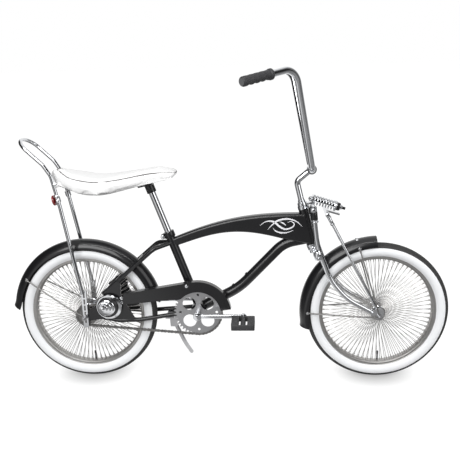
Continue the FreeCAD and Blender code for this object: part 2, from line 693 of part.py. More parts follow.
# Seat and its carriers
def seat():
    post = rod("post_bar", seat_top - seat_line * size.post_depth, post_top, cell("post_radius"))
    keep("seat_post", post)
    collar = rod("collar_ring", seat_top - seat_line * size.collar_length, seat_top, cell("collar_radius"))
    keep("seat_collar", cut("collar_cut", collar, [
        rod("collar_bore", bracket, seat_top + seat_line * 10, cell("seat_tube_radius"))]))
    clamp = fused("bracket_clamp", [
        rod("bracket_sleeve", post_top - seat_line * 26, post_top + seat_line * 3, "17"),
        rod("bracket_bolt", post_top - seat_line * 14 - left * 26, post_top - seat_line * 14 + left * 26, "7"),
        block("bracket_shoe", post_top + Vector(-12, 0, 4), (52, 40, 9), Rotation(left, -12.4))])
    keep("seat_bracket", cut("bracket_clear", clamp, [
        rod("bracket_post", seat_top, post_top, cell("post_radius")), pan_band("bracket_pan"),
        cushion_solid("bracket_cushion")]))


def cushion_solid(name):
    """The banana seat: its side outline crossed with its plan outline."""
    side = outline(with_seat([(-76, 780), (-80, 800), (-20, 776), (60, 752), (120, 754), (300, 781),
                              (352, 776), (354, 764), (230, 738), (130, 716), (76, 707), (20, 712),
                              (-62, 746)]),
                   {1: 8, 2: 150, 3: 150, 4: 150, 5: 100, 6: 8, 8: 100, 9: 100, 10: 60, 11: 60})
    body = plate(name + "_side", side, -size.seat_width / 2, size.seat_width / 2)
    wide, nose = size.seat_width / 2, size.nose_width / 2
    plan = outline([(-90, wide - 22), (-60, wide), (110, wide), (260, nose), (340, nose), (356, nose - 24),
                    (356, 24 - nose), (340, -nose), (260, -nose), (110, -wide), (-60, -wide),
                    (-90, 22 - wide)], {1: 20, 2: 120, 3: 120, 4: 16, 7: 16, 8: 120, 9: 120, 10: 20})
    plan_face = doc.addObject("Part::Feature", name + "_plan_outline")
    plan_face.Shape = Part.Face(plan)
    plan_face.Placement = Placement(seat_point(0, 0, 680), Rotation(ahead, -90))
    plan_solid = doc.addObject("Part::Extrusion", name + "_plan")
    plan_solid.Base, plan_solid.DirMode, plan_solid.Dir = plan_face, "Custom", up
    plan_solid.LengthFwd, plan_solid.Solid = 160, True
    cushion = doc.addObject("Part::Common", name)
    cushion.Base, cushion.Tool = body, plan_solid
    return cushion


def pan_band(name):
    """The pan under the cushion, before the cushion is cut away from it."""
    pan_side = outline(with_seat([(-60, 756), (20, 720), (76, 715), (130, 724), (230, 746), (340, 770),
                                  (340, 757), (230, 734.5), (130, 712.5), (76, 703.5), (20, 708.5),
                                  (-62, 742.5)]),
                       {1: 60, 2: 60, 3: 100, 4: 100, 7: 100, 8: 100, 9: 60, 10: 60})
    half = size.nose_width / 2 - 4
    return plate(name, pan_side, -half, half)


def cushion_and_pan():
    half = size.sissy_half
    keep("seat_cushion", cushion_solid("cushion"))
    ears = [rod("pan_ear%d" % side, seat_point(-56, side * half, 741), seat_point(-66, side * half, 738), "7")
            for side in (-1, 1)]
    keep("seat_pan", cut("pan_cut", fused("pan_body", [pan_band("pan_band")] + ears), [
        cushion_solid("pan_cushion"), both_sides("pan_loops", loop_foot("pan_loop"))]))


def loop_foot(name):
    """The straight lower end of the back loop on the right, used to cut what holds it."""
    half = size.sissy_half
    return rod(name, seat_point(-62, -half, 690), seat_point(-80, -half, 775), cell("loop_radius"))


def sissy_bar():
    half = size.sissy_half
    loop = bent_rod("loop_half", [
        seat_point(-62, -half, 690), seat_point(-80, -half, 775), seat_point(-108, -half, 812),
        seat_point(-204, -half, 893), seat_point(-204, half, 893), seat_point(-108, half, 812),
        seat_point(-80, half, 775), seat_point(-62, half, 690)], [60, 60, 52, 52, 60, 60],
        cell("loop_radius"))
    keep("sissy_loop", loop)
    leg_top, leg_low = seat_point(-62, -half, 690), Vector(-1, -67, 345)
    loop_line = (seat_point(-80, -half, 775) - leg_top).normalize()
    neck = leg_top - loop_line * 26
    leg = fused("sissy_leg", [
        bent_rod("sissy_tube", [leg_top, neck, leg_low], [60], cell("sissy_radius")),
        block("sissy_tab", Vector(2, -62, 285), (18, 4, 140))])
    keep("sissy_struts", cut("sissy_cut", both_sides("sissy_both", leg), [
        rod("sissy_axle_hole", rear_hub - left * 90, rear_hub + left * 90, cell("axle_radius"))]))
    ring = rod("sissy_ring", leg_top - loop_line * 9, leg_top + loop_line * 10, "10.5")
    keep("sissy_clamps", cut("clamps_cut", both_sides("clamps_both", ring), [
        both_sides("clamps_tools", fused("clamps_tool", [
            loop_foot("clamps_loop"), rod("clamps_leg", leg_top, leg_top - loop_line * 14,
                                          cell("sissy_radius"))]))]))
    back = Rotation(left, -90).multVec(loop_line)
    if back.x > 0:
        back = back * -1
    lens = rod("reflector_disc", leg_top + back * 9.5, leg_top + back * (9.5 + size.reflector_thick),
               cell("reflector_radius"))
    keep("rear_reflector", cut("reflector_cut", lens, [
        rod("reflector_seat", leg_top - loop_line * 9, leg_top + loop_line * 10, "10.5")]))


# Steering
def along_head(distance, offset=0.0):
    """A point on the steering line, measured up from the head tube's lower end."""
    return head_low + steer_line * distance + Vector(math.cos(math.radians(size.head_angle)), 0,
                                                     math.sin(math.radians(size.head_angle))) * offset


legs_path = [Vector(822, -52, 648), Vector(836, -52, 520), Vector(884, -52, 386), Vector(945, -52, 314),
             Vector(1040, -52, 262)]
spring_start, spring_end = Vector(823, 0, 668), Vector(906, 0, 642)
spring_line = (spring_end - spring_start).normalize()


def coil(name, start, line, length):
    """Round wire wound about a line, its first and last turns resting on their seats."""
    mean = size.spring_radius - size.spring_wire
    pitch = length / size.spring_turns
    section = Part.Wire(Part.makeCircle(size.spring_wire, Vector(mean, 0, 0),
                                        Vector(0, 2 * math.pi * mean, pitch)))
    thing = doc.addObject("Part::Feature", name)
    thing.Shape = Part.Wire(Part.makeHelix(pitch, length, mean)).makePipeShell([section], True, True)
    thing.Placement = Placement(start, Rotation(up, line))
    return thing


def fork():
    steer_top = size.head_length + size.cup_length
    nut_base = steer_top + size.paint_gap
    steerer = rod("steerer_bar", along_head(-size.cup_length - 34), along_head(nut_base + 12),
                  cell("steerer_radius"))
    half = size.leg_half
    crown = block("crown_block", along_head(-size.cup_length - 22, 13), (42, 2 * half + 26, 32), steer_turn)
    legs = both_sides("legs_both", fused("leg_near", [
        bent_rod("leg_sweep", legs_path, [220, 220, 200], cell("leg_radius")),
        rod("leg_sleeve", Vector(822, -half, 650), Vector(827, -half, 603), cell("sleeve_radius"))]))
    keep("fork_legs", legs)
    crown_base = along_head(-size.cup_length - 30, 13)
    hanger = rod("crown_hanger", crown_base, crown_base + (front_hub - crown_base).normalize() * 34, "7")
    keep("fork_crown", cut("crown_cut", fused("crown_both", [crown, steerer, hanger]), [
        fender_hull("crown_fender", front_hub),
        both_sides("crown_legs", bent_rod("crown_leg", legs_path, [220, 220, 200], cell("leg_radius")))]))
    nut = [rod("locknut", along_head(nut_base), along_head(nut_base + 12), cell("locknut_radius")),
           rod("top_nut", along_head(nut_base + 12), along_head(nut_base + 21), cell("top_nut_radius"))]
    keep("headset_nut", cut("nut_cut", fused("nut_both", nut), [
        rod("nut_bore", along_head(0), along_head(nut_base + 12), cell("steerer_radius")),
        rod("nut_quill", along_head(nut_base + 12), along_head(nut_base + 40), cell("stem_radius"))]))
    bridge = fused("bridge_body", [
        block("bridge_plate", Vector(822, 0, 640), (12, 2 * half + 20, 13), Rotation(left, 17)),
        block("bridge_face", Vector(820, 0, 662), (4, 44, 40), Rotation(left, 17)),
        block("bridge_tongue", Vector(806, 0, 654), (34, 26, 5), Rotation(left, -13))])
    keep("fork_bridge", cut("bridge_cut", bridge, [
        both_sides("bridge_legs", rod("bridge_leg", Vector(822, -half, 650), Vector(827, -half, 603),
                                      cell("sleeve_radius"))),
        rod("bridge_nut", along_head(0), along_head(190), cell("locknut_radius")),
        rod("bridge_cup", along_head(0), along_head(size.head_length + size.cup_length + 0.3), "Sizes.cup_radius + 1"),
        rod("bridge_bolt", spring_start - spring_line * 30, spring_end, cell("bolt_radius"))]))
    bolt = rod("spring_rod", spring_start - spring_line * 14, spring_end + spring_line * 32, cell("bolt_radius"))
    keep("spring_bolt", bolt)
    keep("fork_spring", coil("spring_coil", spring_start + spring_line * (4 + size.spring_wire), spring_line,
                             size.spring_length - 8 - 2 * size.spring_wire))
    front = spring_start + spring_line * (size.spring_length - 3.5)
    yoke = fused("yoke_body", [
        rod("yoke_disc", front, front + spring_line * 4, "18"),
        rod("yoke_cap", front + spring_line * 4, front + spring_line * 20, "13"),
        block("yoke_web", Vector(893, 0, 621), (50, 24, 6), Rotation(left, 17)),
        rod("yoke_bar", Vector(871, -half - 8, 622), Vector(871, half + 8, 622), "8")])
    keep("spring_yoke", cut("yoke_cut", yoke, [
        rod("yoke_bore", spring_start, spring_end + spring_line * 60, cell("bolt_radius"))]))
    struts = rod("strut_near", Vector(871, -half, 622), Vector(1049, -half, 277), cell("strut_radius"))
    keep("fork_struts", cut("struts_cut", both_sides("struts_both", struts), [
        rod("struts_bar", Vector(871, -half - 8, 622), Vector(871, half + 8, 622), "8")]))
    low = size.rocker_y
    link = plate("rocker_link", outline([(1026, 262), (1042, 284), (1062, 284), (1070, 254), (1062, 242),
                                         (1046, 244)], {0: 6, 1: 6, 2: 6, 3: 8, 4: 5, 5: 5}),
                 -low - size.rocker_thick, -low)
    pins = [rod("rocker_pin0", Vector(1040, -half, 262), Vector(1040, -low - 1, 262), "5"),
            rod("rocker_pin1", Vector(1049, -half, 277), Vector(1049, -low - 1, 277), "4")]
    keep("fork_rockers", cut("rockers_cut", both_sides("rockers_both", fused("rocker_near", [link] + pins)), [
        rod("rocker_hole", front_hub - left * 90, front_hub + left * 90, cell("axle_radius")),
        both_sides("rocker_legs", fused("rocker_leg_tools", [
            bent_rod("rocker_leg", legs_path, [220, 220, 200], cell("leg_radius")),
            rod("rocker_strut", Vector(871, -half, 622), Vector(1049, -half, 277), cell("strut_radius"))]))]))
    reach = 84
    keep("front_axle", rod("front_axle_bar", front_hub - left * reach, front_hub + left * reach,
                           cell("axle_radius")))
    nuts = [rod("front_nut%d" % side, front_hub + left * side * 67.9, front_hub + left * side * 76,
                cell("axle_nut_radius")) for side in (-1, 1)]
    keep("front_axle_nuts", cut("front_nuts_cut", fused("front_nuts", nuts), [
        rod("front_nut_hole", front_hub - left * 90, front_hub + left * 90, cell("axle_radius"))]))


clamp_centre = Vector(819, 0, 774)


def bar_and_stem():
    base = along_head(size.head_length + size.cup_length + size.paint_gap + 12)
    quill = bent_rod("stem_sweep", [base, along_head(230), clamp_centre - Vector(5, 0, 4)], [22],
                     cell("stem_radius"))
    wrap = rod("stem_clamp", clamp_centre - left * size.clamp_width / 2,
               clamp_centre + left * size.clamp_width / 2, cell("clamp_radius"))
    keep("stem", cut("stem_cut", fused("stem_body", [quill, wrap]), [
        rod("stem_bore", clamp_centre - left * 60, clamp_centre + left * 60, cell("bar_radius")),
        rod("stem_steerer", along_head(0), along_head(size.head_length + size.cup_length + 12.3),
            cell("steerer_radius"))]))
    grip_end = Vector(594, -285, 1074)
    right = [grip_end, Vector(757, -140, 1112), Vector(819, -50, 774), Vector(819, 0, 774)]
    points = right[:3] + [Vector(p.x, -p.y, p.z) for p in reversed(right[:3])]
    tube = bent_rod("bar_sweep", points, [55, 36, 36, 55], cell("bar_radius"))
    keep("handlebar", tube)
    line = (right[1] - right[0]).normalize()
    sleeve = rod("grip_sleeve", grip_end - line * 4, grip_end + line * size.grip_length, cell("grip_radius"))
    keep("grips", cut("grips_cut", both_sides("grips_both", sleeve), [
        both_sides("grips_bore", rod("grip_bore", grip_end, grip_end + line * 140, cell("bar_radius")))]))


# Side stand
lean_centre = Vector(0, 0, size.tyre_radius)
stand_pivot = Vector(308, 42, 190)
stand_knee, foot_reach = Vector(345, 64, 96), 150
stand_foot = Vector(355, foot_reach, lean_centre.z + (size.stand_radius - lean_centre.z + foot_reach
                    * math.sin(math.radians(size.lean))) / math.cos(math.radians(size.lean)))


def side_stand():
    """The bracket under the chain stays, its pivot bolt, and the leg that folds back round it."""
    fold_turn = Rotation(ahead, size.fold_tilt)
    fold_axis = fold_turn.multVec(left)
    hub_low, hub_high = -2.7, 16
    plate_low = hub_low - 0.5 - size.carrier_thick
    plate_centre = stand_pivot + fold_axis * (plate_low + size.carrier_thick / 2) + fold_turn.multVec(up) * 22
    carrier = fused("carrier_body", [
        block("carrier_top", Vector(306, 0, 240), (32, 76, 5)),
        block("carrier_leg", plate_centre, (26, size.carrier_thick, 68), fold_turn),
        rod("carrier_bolt", stand_pivot + fold_axis * plate_low, stand_pivot + fold_axis * (hub_high + 0.6),
            cell("stand_bolt_radius")),
        rod("carrier_head", stand_pivot + fold_axis * (hub_high + 0.5),
            stand_pivot + fold_axis * (hub_high + 5.5), "8.5")])
    keep("stand_bracket", cut("carrier_cut", carrier, [
        both_sides("carrier_stays", bent_rod("carrier_stay", [
            Vector(413, -23, 264), Vector(316, -32, 252), Vector(200, -46, 238), Vector(122, -57, 240),
            Vector(70, -57.5, 252)], [150, 150, 60], cell("stay_radius")))]))
    leg = bent_rod("stand_sweep", [stand_pivot + fold_axis * 8, stand_knee, stand_foot], [60],
                   cell("stand_radius"))
    hub = rod("stand_hub", stand_pivot + fold_axis * hub_low, stand_pivot + fold_axis * hub_high, "13")
    foot = doc.addObject("Part::Sphere", "stand_tip")
    bind(foot, Radius=cell("stand_radius"))
    foot.Placement = Placement(stand_foot, Rotation())
    bore = rod("stand_bore", stand_pivot - fold_axis * 30, stand_pivot + fold_axis * 30,
               "Sizes.stand_bolt_radius + Sizes.running_fit")
    keep("side_stand", cut("stand_cut", fused("stand_body", [leg, hub, foot]), [bore]))


head_tube()
seat_tube()
bottom_bracket()
tank_beam()
down_tube()
stays()
dropouts()
rear_axle()
drive()
chain()
crank()
chain_guard()
fenders()
keep("rear_fender_stays", fender_stays("rear_stays", rear_hub, [(-214, 387)], 64, [
    rod("rear_stays_nut_right", rear_hub - left * 66.4, rear_hub - left * 80, "11"),
    rod("rear_stays_nut_left", rear_hub + left * 66.4, rear_hub + left * 80, "11"),
    fender_hull("rear_stays_fender", rear_hub)]))
keep("front_fender_stays", fender_stays("front_stays", front_hub, [(986, 495), (806, 256)], 65.5, [
    rod("front_stays_nut_right", front_hub - left * 67.9, front_hub - left * 80, "10"),
    rod("front_stays_nut_left", front_hub + left * 67.9, front_hub + left * 80, "10"),
    fender_hull("front_stays_fender", front_hub)]))
seat()
cushion_and_pan()
sissy_bar()
fork()
bar_and_stem()
side_stand()
tyre("rear_tyre", rear_hub)
tyre("front_tyre", front_hub)
wire_wheel("rear_wire_wheel", rear_hub)
wire_wheel("front_wire_wheel", front_hub)
doc.recompute()

failed = [thing.Name for thing in doc.Objects if set(thing.State) & {"Invalid", "Error"}]
if failed:
    raise RuntimeError("not built: " + ", ".join(failed))

# Lean the bicycle over its tyres' section centres until the side stand meets the ground
lean_turn = Rotation(ahead, -size.lean)
lean = Placement(lean_centre - lean_turn.multVec(lean_centre), lean_turn)


def placed(offset):
    move = Placement(offset, Rotation())
    for thing in pieces.values():
        own = upright[thing.Name]
        thing.Placement = move.multiply(lean).multiply(own)
    doc.recompute()


upright = {thing.Name: thing.Placement.copy() for thing in pieces.values()}
placed(Vector())
low, high = [1e9] * 3, [-1e9] * 3
for thing in pieces.values():
    for point in thing.Shape.tessellate(0.4)[0]:
        low = [min(a, b) for a, b in zip(low, point)]
        high = [max(a, b) for a, b in zip(high, point)]
shift = Vector(-(low[0] + high[0]) / 2, -(low[1] + high[1]) / 2, -low[2])
placed(shift)
print("box", [round(b - a, 2) for a, b in zip(low, high)], "lowest", round(low[2], 3))

for name, thing in pieces.items():
    shape = thing.Shape
    if shape.isNull() or not shape.isValid() or not shape.Solids:
        raise RuntimeError("bad shape: " + name)
    print(name, "solids", len(shape.Solids), "volume", round(shape.Volume / 1000, 1))
    shape.exportStep("parts/%s.step" % name)


def final(point):
    return Placement(shift, Rotation()).multiply(lean).multVec(point)


marks = {
    "rear_hub": rear_hub, "front_hub": front_hub, "bracket": bracket, "head_low": head_low,
    "pedal_right": bracket + ahead * size.crank_length, "pedal_left": bracket - ahead * size.crank_length,
    "stand_pivot": stand_pivot, "seat_top": seat_top, "boss_high": boss_spots[0], "boss_low": boss_spots[2],
}
for name, point in marks.items():
    print("mark", name, [round(c / 1000, 6) for c in final(point)])
for name, line in {"left": left, "steer": steer_line, "seat": seat_line, "boss": boss_spots[1],
                   "fold": Rotation(ahead, size.fold_tilt).multVec(left)}.items():
    turned = lean_turn.multVec(line)
    print("line", name, [round(c, 8) for c in turned])
print("foot height", round(final(stand_foot).z - size.stand_radius, 3))
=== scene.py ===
import json
import math
import bpy
from mathutils import Matrix, Vector


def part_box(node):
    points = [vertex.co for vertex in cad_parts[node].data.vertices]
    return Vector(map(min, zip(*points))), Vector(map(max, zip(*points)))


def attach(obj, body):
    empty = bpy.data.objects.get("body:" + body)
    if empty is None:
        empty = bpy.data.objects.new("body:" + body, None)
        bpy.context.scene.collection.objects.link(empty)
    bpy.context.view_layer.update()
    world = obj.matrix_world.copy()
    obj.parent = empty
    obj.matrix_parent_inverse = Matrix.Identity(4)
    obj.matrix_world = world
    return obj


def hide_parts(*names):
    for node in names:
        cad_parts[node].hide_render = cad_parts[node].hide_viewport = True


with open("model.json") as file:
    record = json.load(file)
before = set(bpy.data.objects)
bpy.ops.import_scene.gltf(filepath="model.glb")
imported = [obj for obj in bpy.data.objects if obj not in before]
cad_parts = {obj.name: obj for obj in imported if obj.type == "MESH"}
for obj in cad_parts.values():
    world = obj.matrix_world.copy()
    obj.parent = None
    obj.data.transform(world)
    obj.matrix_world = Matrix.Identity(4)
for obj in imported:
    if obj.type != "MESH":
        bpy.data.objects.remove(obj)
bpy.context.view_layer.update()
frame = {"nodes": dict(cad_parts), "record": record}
print("frame loaded:", len(frame["nodes"]), "nodes")

# upright measures in mm are turned into the leaning frame in metres
bike = {"lean": 5.0, "tyreRadius": 26.0, "wheelRadius": 254.0, "wheelbase": 1057.0,
        "crankLength": 165.0}
rearHub = Vector((0, 0, bike["wheelRadius"]))
frontHub = Vector((bike["wheelbase"], 0, bike["wheelRadius"]))
bracket = Vector((413, 0, 266))
leanPivot = Vector((0, 0, bike["tyreRadius"] / 1000))
leanMove = (Matrix.Translation(leanPivot) @ Matrix.Rotation(math.radians(-bike["lean"]), 4, "X")
            @ Matrix.Translation(-leanPivot))
tyreLow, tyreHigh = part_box("rear_tyre")
toFrame = Matrix.Translation((tyreLow + tyreHigh) / 2 - leanMove @ (rearHub / 1000)) @ leanMove
mm = Matrix.Scale(0.001, 4)


# materials: an expression on sockets adds the nodes that work it out
class Sock:
    def __init__(self, tree, out):
        self.tree, self.out = tree, out

    def math(self, operation, *values):
        return Shade(self.tree).node("ShaderNodeMath", {"operation": operation},
                                     dict(enumerate(values)))

    def __add__(self, other): return self.math("ADD", self, other)
    def __radd__(self, other): return self.math("ADD", other, self)
    def __sub__(self, other): return self.math("SUBTRACT", self, other)
    def __rsub__(self, other): return self.math("SUBTRACT", other, self)
    def __mul__(self, other): return self.math("MULTIPLY", self, other)
    def __rmul__(self, other): return self.math("MULTIPLY", other, self)
    def __truediv__(self, other): return self.math("DIVIDE", self, other)
    def __pow__(self, other): return self.math("POWER", self, other)


class Shade:
    def __init__(self, tree):
        self.tree = tree

    def node(self, kind, settings=None, values=None, out=0):
        made = self.tree.nodes.new(kind)
        for name, value in (settings or {}).items():
            if name == "stops":
                ramp = made.color_ramp
                while len(ramp.elements) < len(value):
                    ramp.elements.new(0.5)
                for element, (place, shade) in zip(ramp.elements, value):
                    element.position, element.color = place, (shade, shade, shade, 1)
            else:
                setattr(made, name, value)
        for name, value in (values or {}).items():
            if isinstance(value, Sock):
                self.tree.links.new(value.out, made.inputs[name])
            else:
                made.inputs[name].default_value = value
        return Sock(self.tree, made.outputs[out])

    def here(self):
        return self.node("ShaderNodeTexCoord", out="Object")

    def texture(self, scale, detail=None):      # soft noise, or cells where no detail is given
        if detail is None:
            return self.node("ShaderNodeTexVoronoi", {"feature": "DISTANCE_TO_EDGE"},
                             {"Vector": self.here(), "Scale": scale})
        return self.node("ShaderNodeTexNoise", {}, {"Vector": self.here(), "Scale": scale, "Detail": detail})

    def blend(self, mask, low, high):
        return self.node("ShaderNodeMix", {"data_type": "RGBA"}, {0: mask, 6: low, 7: high}, out=2)

    def bump(self, height, strength, distance):
        return self.node("ShaderNodeBump", {},
                         {"Height": height, "Strength": strength, "Distance": distance})


# a finish blends two tones by a cloud, which spreads the roughness and the coat as well
def makeFinish(name, look):
    made = bpy.data.materials.new(name)
    made.use_nodes = True
    shader = made.node_tree.nodes["Principled BSDF"]
    s = Shade(made.node_tree)
    cloud = s.texture(*look["cloud"])
    rough, spread = look["rough"]
    values = {"Base Color": s.blend(cloud, (*look["low"], 1), (*look["high"], 1)),
              "Roughness": rough + cloud * spread}
    if "coat" in look:
        coat, spread = look["coat"]
        values["Coat Weight"] = coat + cloud * spread
    if "bump" in look:
        relief = s.texture(*look["relief"]) if "relief" in look else cloud
        values["Normal"] = s.bump(relief, *look["bump"])
    for socketName, value in {**values, **look.get("plain", {})}.items():
        if isinstance(value, Sock):
            s.tree.links.new(value.out, shader.inputs[socketName])
        else:
            shader.inputs[socketName].default_value = value
    return made


paintMat = makeFinish("satinBlackPaint", {
    "low": (0.006, 0.006, 0.007), "high": (0.0075, 0.0075, 0.0085), "cloud": (9, 4), "rough": (0.27, 0.1),
    "coat": (0.42, 0.1), "relief": (700, 2), "bump": (0.05, 0.0004),
    "plain": {"Specular IOR Level": 0.32, "Coat Roughness": 0.05}})
chromeMat = makeFinish("chromePlate", {
    "low": (0.7, 0.71, 0.73), "high": (0.76, 0.77, 0.79), "cloud": (14, 5), "rough": (0.04, 0.05),
    "relief": (900, 2), "bump": (0.02, 0.0002), "plain": {"Metallic": 1.0}})
steelMat = makeFinish("zincSteel", {
    "low": (0.4, 0.4, 0.41), "high": (0.5, 0.5, 0.51), "cloud": (260, 4), "rough": (0.32, 0.15),
    "bump": (0.08, 0.0003), "plain": {"Metallic": 1.0}})
rimMat = makeFinish("satinRim", {
    "low": (0.42, 0.41, 0.4), "high": (0.56, 0.55, 0.54), "cloud": (240, 4), "rough": (0.36, 0.12),
    "bump": (0.05, 0.0002), "plain": {"Metallic": 1.0}})
darkSteelMat = makeFinish("chainSteel", {
    "low": (0.2, 0.195, 0.19), "high": (0.3, 0.295, 0.29), "cloud": (180, 4), "rough": (0.38, 0.12),
    "bump": (0.1, 0.0003), "plain": {"Metallic": 0.9}})
rubberMat = makeFinish("treadRubber", {
    "low": (0.016, 0.016, 0.017), "high": (0.045, 0.044, 0.043), "cloud": (30, 5), "rough": (0.62, 0.2),
    "relief": (1500, 2), "bump": (0.15, 0.0003)})
sidewallMat = makeFinish("whiteSidewall", {
    "low": (0.84, 0.85, 0.87), "high": (0.78, 0.79, 0.8), "cloud": (12, 5), "rough": (0.5, 0.15),
    "relief": (900, 2), "bump": (0.1, 0.0002)})
vinylMat = makeFinish("whiteVinyl", {
    "low": (0.86, 0.86, 0.86), "high": (0.78, 0.78, 0.78), "cloud": (11, 4), "rough": (0.36, 0.12),
    "coat": (0.1, 0.1), "relief": (420,), "bump": (0.22, 0.0004)})
plasticMat = makeFinish("gripPlastic", {
    "low": (0.02, 0.02, 0.022), "high": (0.045, 0.045, 0.048), "cloud": (20, 3), "rough": (0.5, 0.12),
    "relief": (1100, 3), "bump": (0.2, 0.0003)})
pipingMat = makeFinish("seatPiping", {
    "low": (0.12, 0.115, 0.115), "high": (0.2, 0.19, 0.19), "cloud": (800, 2), "rough": (0.45, 0.1),
    "bump": (0.15, 0.0003)})
lensMat = makeFinish("reflectorLens", {
    "low": (0.16, 0.006, 0.006), "high": (0.32, 0.012, 0.01), "cloud": (330,), "rough": (0.15, 0.1),
    "bump": (0.5, 0.001), "plain": {"Coat Weight": 0.6}})
stripeMat = makeFinish("palePinstripe", {
    "low": (0.8, 0.8, 0.82), "high": (0.66, 0.66, 0.69), "cloud": (60, 3), "rough": (0.35, 0.1)})
print("materials made")

# the spring bolt takes black paint so that the inside of the fork coil reads dark: painted shade
nodeLook = {"seat_pan": vinylMat, "seat_bracket": paintMat, "headset_nut": chromeMat, "spring_bolt": paintMat,
            "rear_fender_stays": darkSteelMat, "front_fender_stays": darkSteelMat,
            "side_stand": steelMat, "stand_bracket": steelMat}
nodeFinish = {
    "black_paint": paintMat, "chrome": chromeMat, "zinc_steel": steelMat, "black_steel": darkSteelMat,
    "tyre_rubber": rubberMat, "black_plastic": plasticMat, "white_vinyl": vinylMat, "red_lens": lensMat,
}


# modelling helpers: everything is made with operators in upright mm, then placed
def fresh():
    if bpy.context.object and bpy.context.object.mode != "OBJECT":
        bpy.ops.object.mode_set(mode="OBJECT")
    bpy.ops.object.select_all(action="DESELECT")


def take(obj):
    fresh()
    obj.select_set(True)
    bpy.context.view_layer.objects.active = obj
    return obj


def editAll(obj):
    take(obj)
    bpy.ops.object.mode_set(mode="EDIT")
    bpy.ops.mesh.select_mode(type="VERT")
    bpy.ops.mesh.select_all(action="SELECT")


def pickFaces(obj, wanted):
    editAll(obj)
    bpy.ops.mesh.select_mode(type="FACE")
    bpy.ops.mesh.select_all(action="DESELECT")
    bpy.ops.object.mode_set(mode="OBJECT")
    for face in obj.data.polygons:
        face.select = bool(wanted(face))
    bpy.ops.object.mode_set(mode="EDIT")


def tidyNormals(obj, gap=0.02):
    editAll(obj)
    bpy.ops.mesh.remove_doubles(threshold=gap)
    bpy.ops.mesh.normals_make_consistent(inside=False)
    bpy.ops.object.mode_set(mode="OBJECT")


def closeEnds(obj):
    editAll(obj)
    bpy.ops.mesh.select_all(action="DESELECT")
    bpy.ops.mesh.select_non_manifold()
    bpy.ops.mesh.edge_face_add()
    bpy.ops.object.mode_set(mode="OBJECT")
    tidyNormals(obj, 0.001)


def applied(obj, kind, **settings):
    take(obj)
    made = obj.modifiers.new(kind.title(), kind)
    for name, value in settings.items():
        setattr(made, name, value)
    bpy.ops.object.modifier_apply(modifier=made.name)
    return obj


def joined(name, parts):
    fresh()
    for part in parts:
        part.select_set(True)
    bpy.context.view_layer.objects.active = parts[0]
    bpy.ops.object.join()
    parts[0].name = parts[0].data.name = name
    return parts[0]


def settle(obj):
    take(obj)
    bpy.ops.object.transform_apply(location=True, rotation=True, scale=True)
    return obj


def copyOf(obj, move):
    twin = obj.copy()
    twin.data = obj.data.copy()
    bpy.context.scene.collection.objects.link(twin)
    twin.data.transform(move)
    return twin


def spun(name, profile, centre, steps):
    fresh()
    bpy.ops.mesh.primitive_circle_add(vertices=len(profile), radius=1)
    obj = bpy.context.object
    obj.name = name
    for vertex, (y, r) in zip(obj.data.vertices, profile):
        vertex.co = centre + Vector((0, y, r))
    editAll(obj)
    bpy.ops.mesh.spin(steps=steps, angle=math.tau, center=centre, axis=(0, 1, 0))
    bpy.ops.object.mode_set(mode="OBJECT")
    tidyNormals(obj)
    return obj


def mirrored(profile):
    return [(-y, r) for y, r in reversed(profile)]


def barBetween(name, start, end, radius, sides=16, lip=0.0):
    fresh()
    line = end - start
    bpy.ops.mesh.primitive_cylinder_add(vertices=sides, radius=radius, depth=line.length,
                                        location=(start + end) / 2,
                                        rotation=line.to_track_quat("Z", "Y").to_euler())
    obj = settle(bpy.context.object)
    obj.name = name
    if lip:
        applied(obj, "BEVEL", width=lip, segments=2, limit_method="ANGLE",
                angle_limit=math.radians(50))
    return obj


def slab(name, centre, sizes, turn=None, lip=0.0, segments=2):
    fresh()
    bpy.ops.mesh.primitive_cube_add(size=1, location=centre)
    obj = bpy.context.object
    obj.name = name
    obj.scale = sizes
    if turn is not None:
        obj.rotation_mode = "QUATERNION"
        obj.rotation_quaternion = turn
    settle(obj)
    if lip:
        applied(obj, "BEVEL", width=lip, segments=segments, limit_method="ANGLE",
                angle_limit=math.radians(50))
    return obj


def tubeAlong(name, points, radius):      # a closed loop
    line = bpy.data.curves.new(name, "CURVE")
    line.dimensions, line.use_fill_caps = "3D", True
    line.bevel_depth, line.bevel_resolution, line.resolution_u = radius, 1, 5
    run = line.splines.new("NURBS")
    run.points.add(len(points) - 1)
    for knot, point in zip(run.points, points):
        knot.co = (*point, 1)
    run.order_u, run.use_cyclic_u = 3, True
    obj = bpy.data.objects.new(name, line)
    bpy.context.scene.collection.objects.link(obj)
    take(obj)
    bpy.ops.object.convert(target="MESH")
    return bpy.context.object


def between(rows, x):
    for (x0, v0), (x1, v1) in zip(rows, rows[1:]):
        if x <= x1:
            return v0 + (v1 - v0) * max(0.0, min(1.0, (x - x0) / (x1 - x0)))
    return rows[-1][1]


def keepPiece(obj, name, body, finish, replaced=(), leaned=True, smooth=35):
    if isinstance(obj, list):
        obj = joined(name, obj)
    obj.name = obj.data.name = name
    if leaned:
        obj.data.transform(toFrame @ mm)
    take(obj)
    bpy.ops.object.shade_smooth_by_angle(angle=math.radians(smooth))
    if finish is not None:
        obj.data.materials.clear()
        obj.data.materials.append(finish)
    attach(obj, body)
    if replaced:
        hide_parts(*replaced)
    return obj


# CAD nodes that stay get their finish
nodeSlots = {part["node"]: part["material_slot"] for part in frame["record"]["subparts"]}
for nodeName, node in frame["nodes"].items():
    node.data.materials.clear()
    node.data.materials.append(nodeLook.get(nodeName, nodeFinish[nodeSlots[nodeName]]))
print("CAD nodes finished")

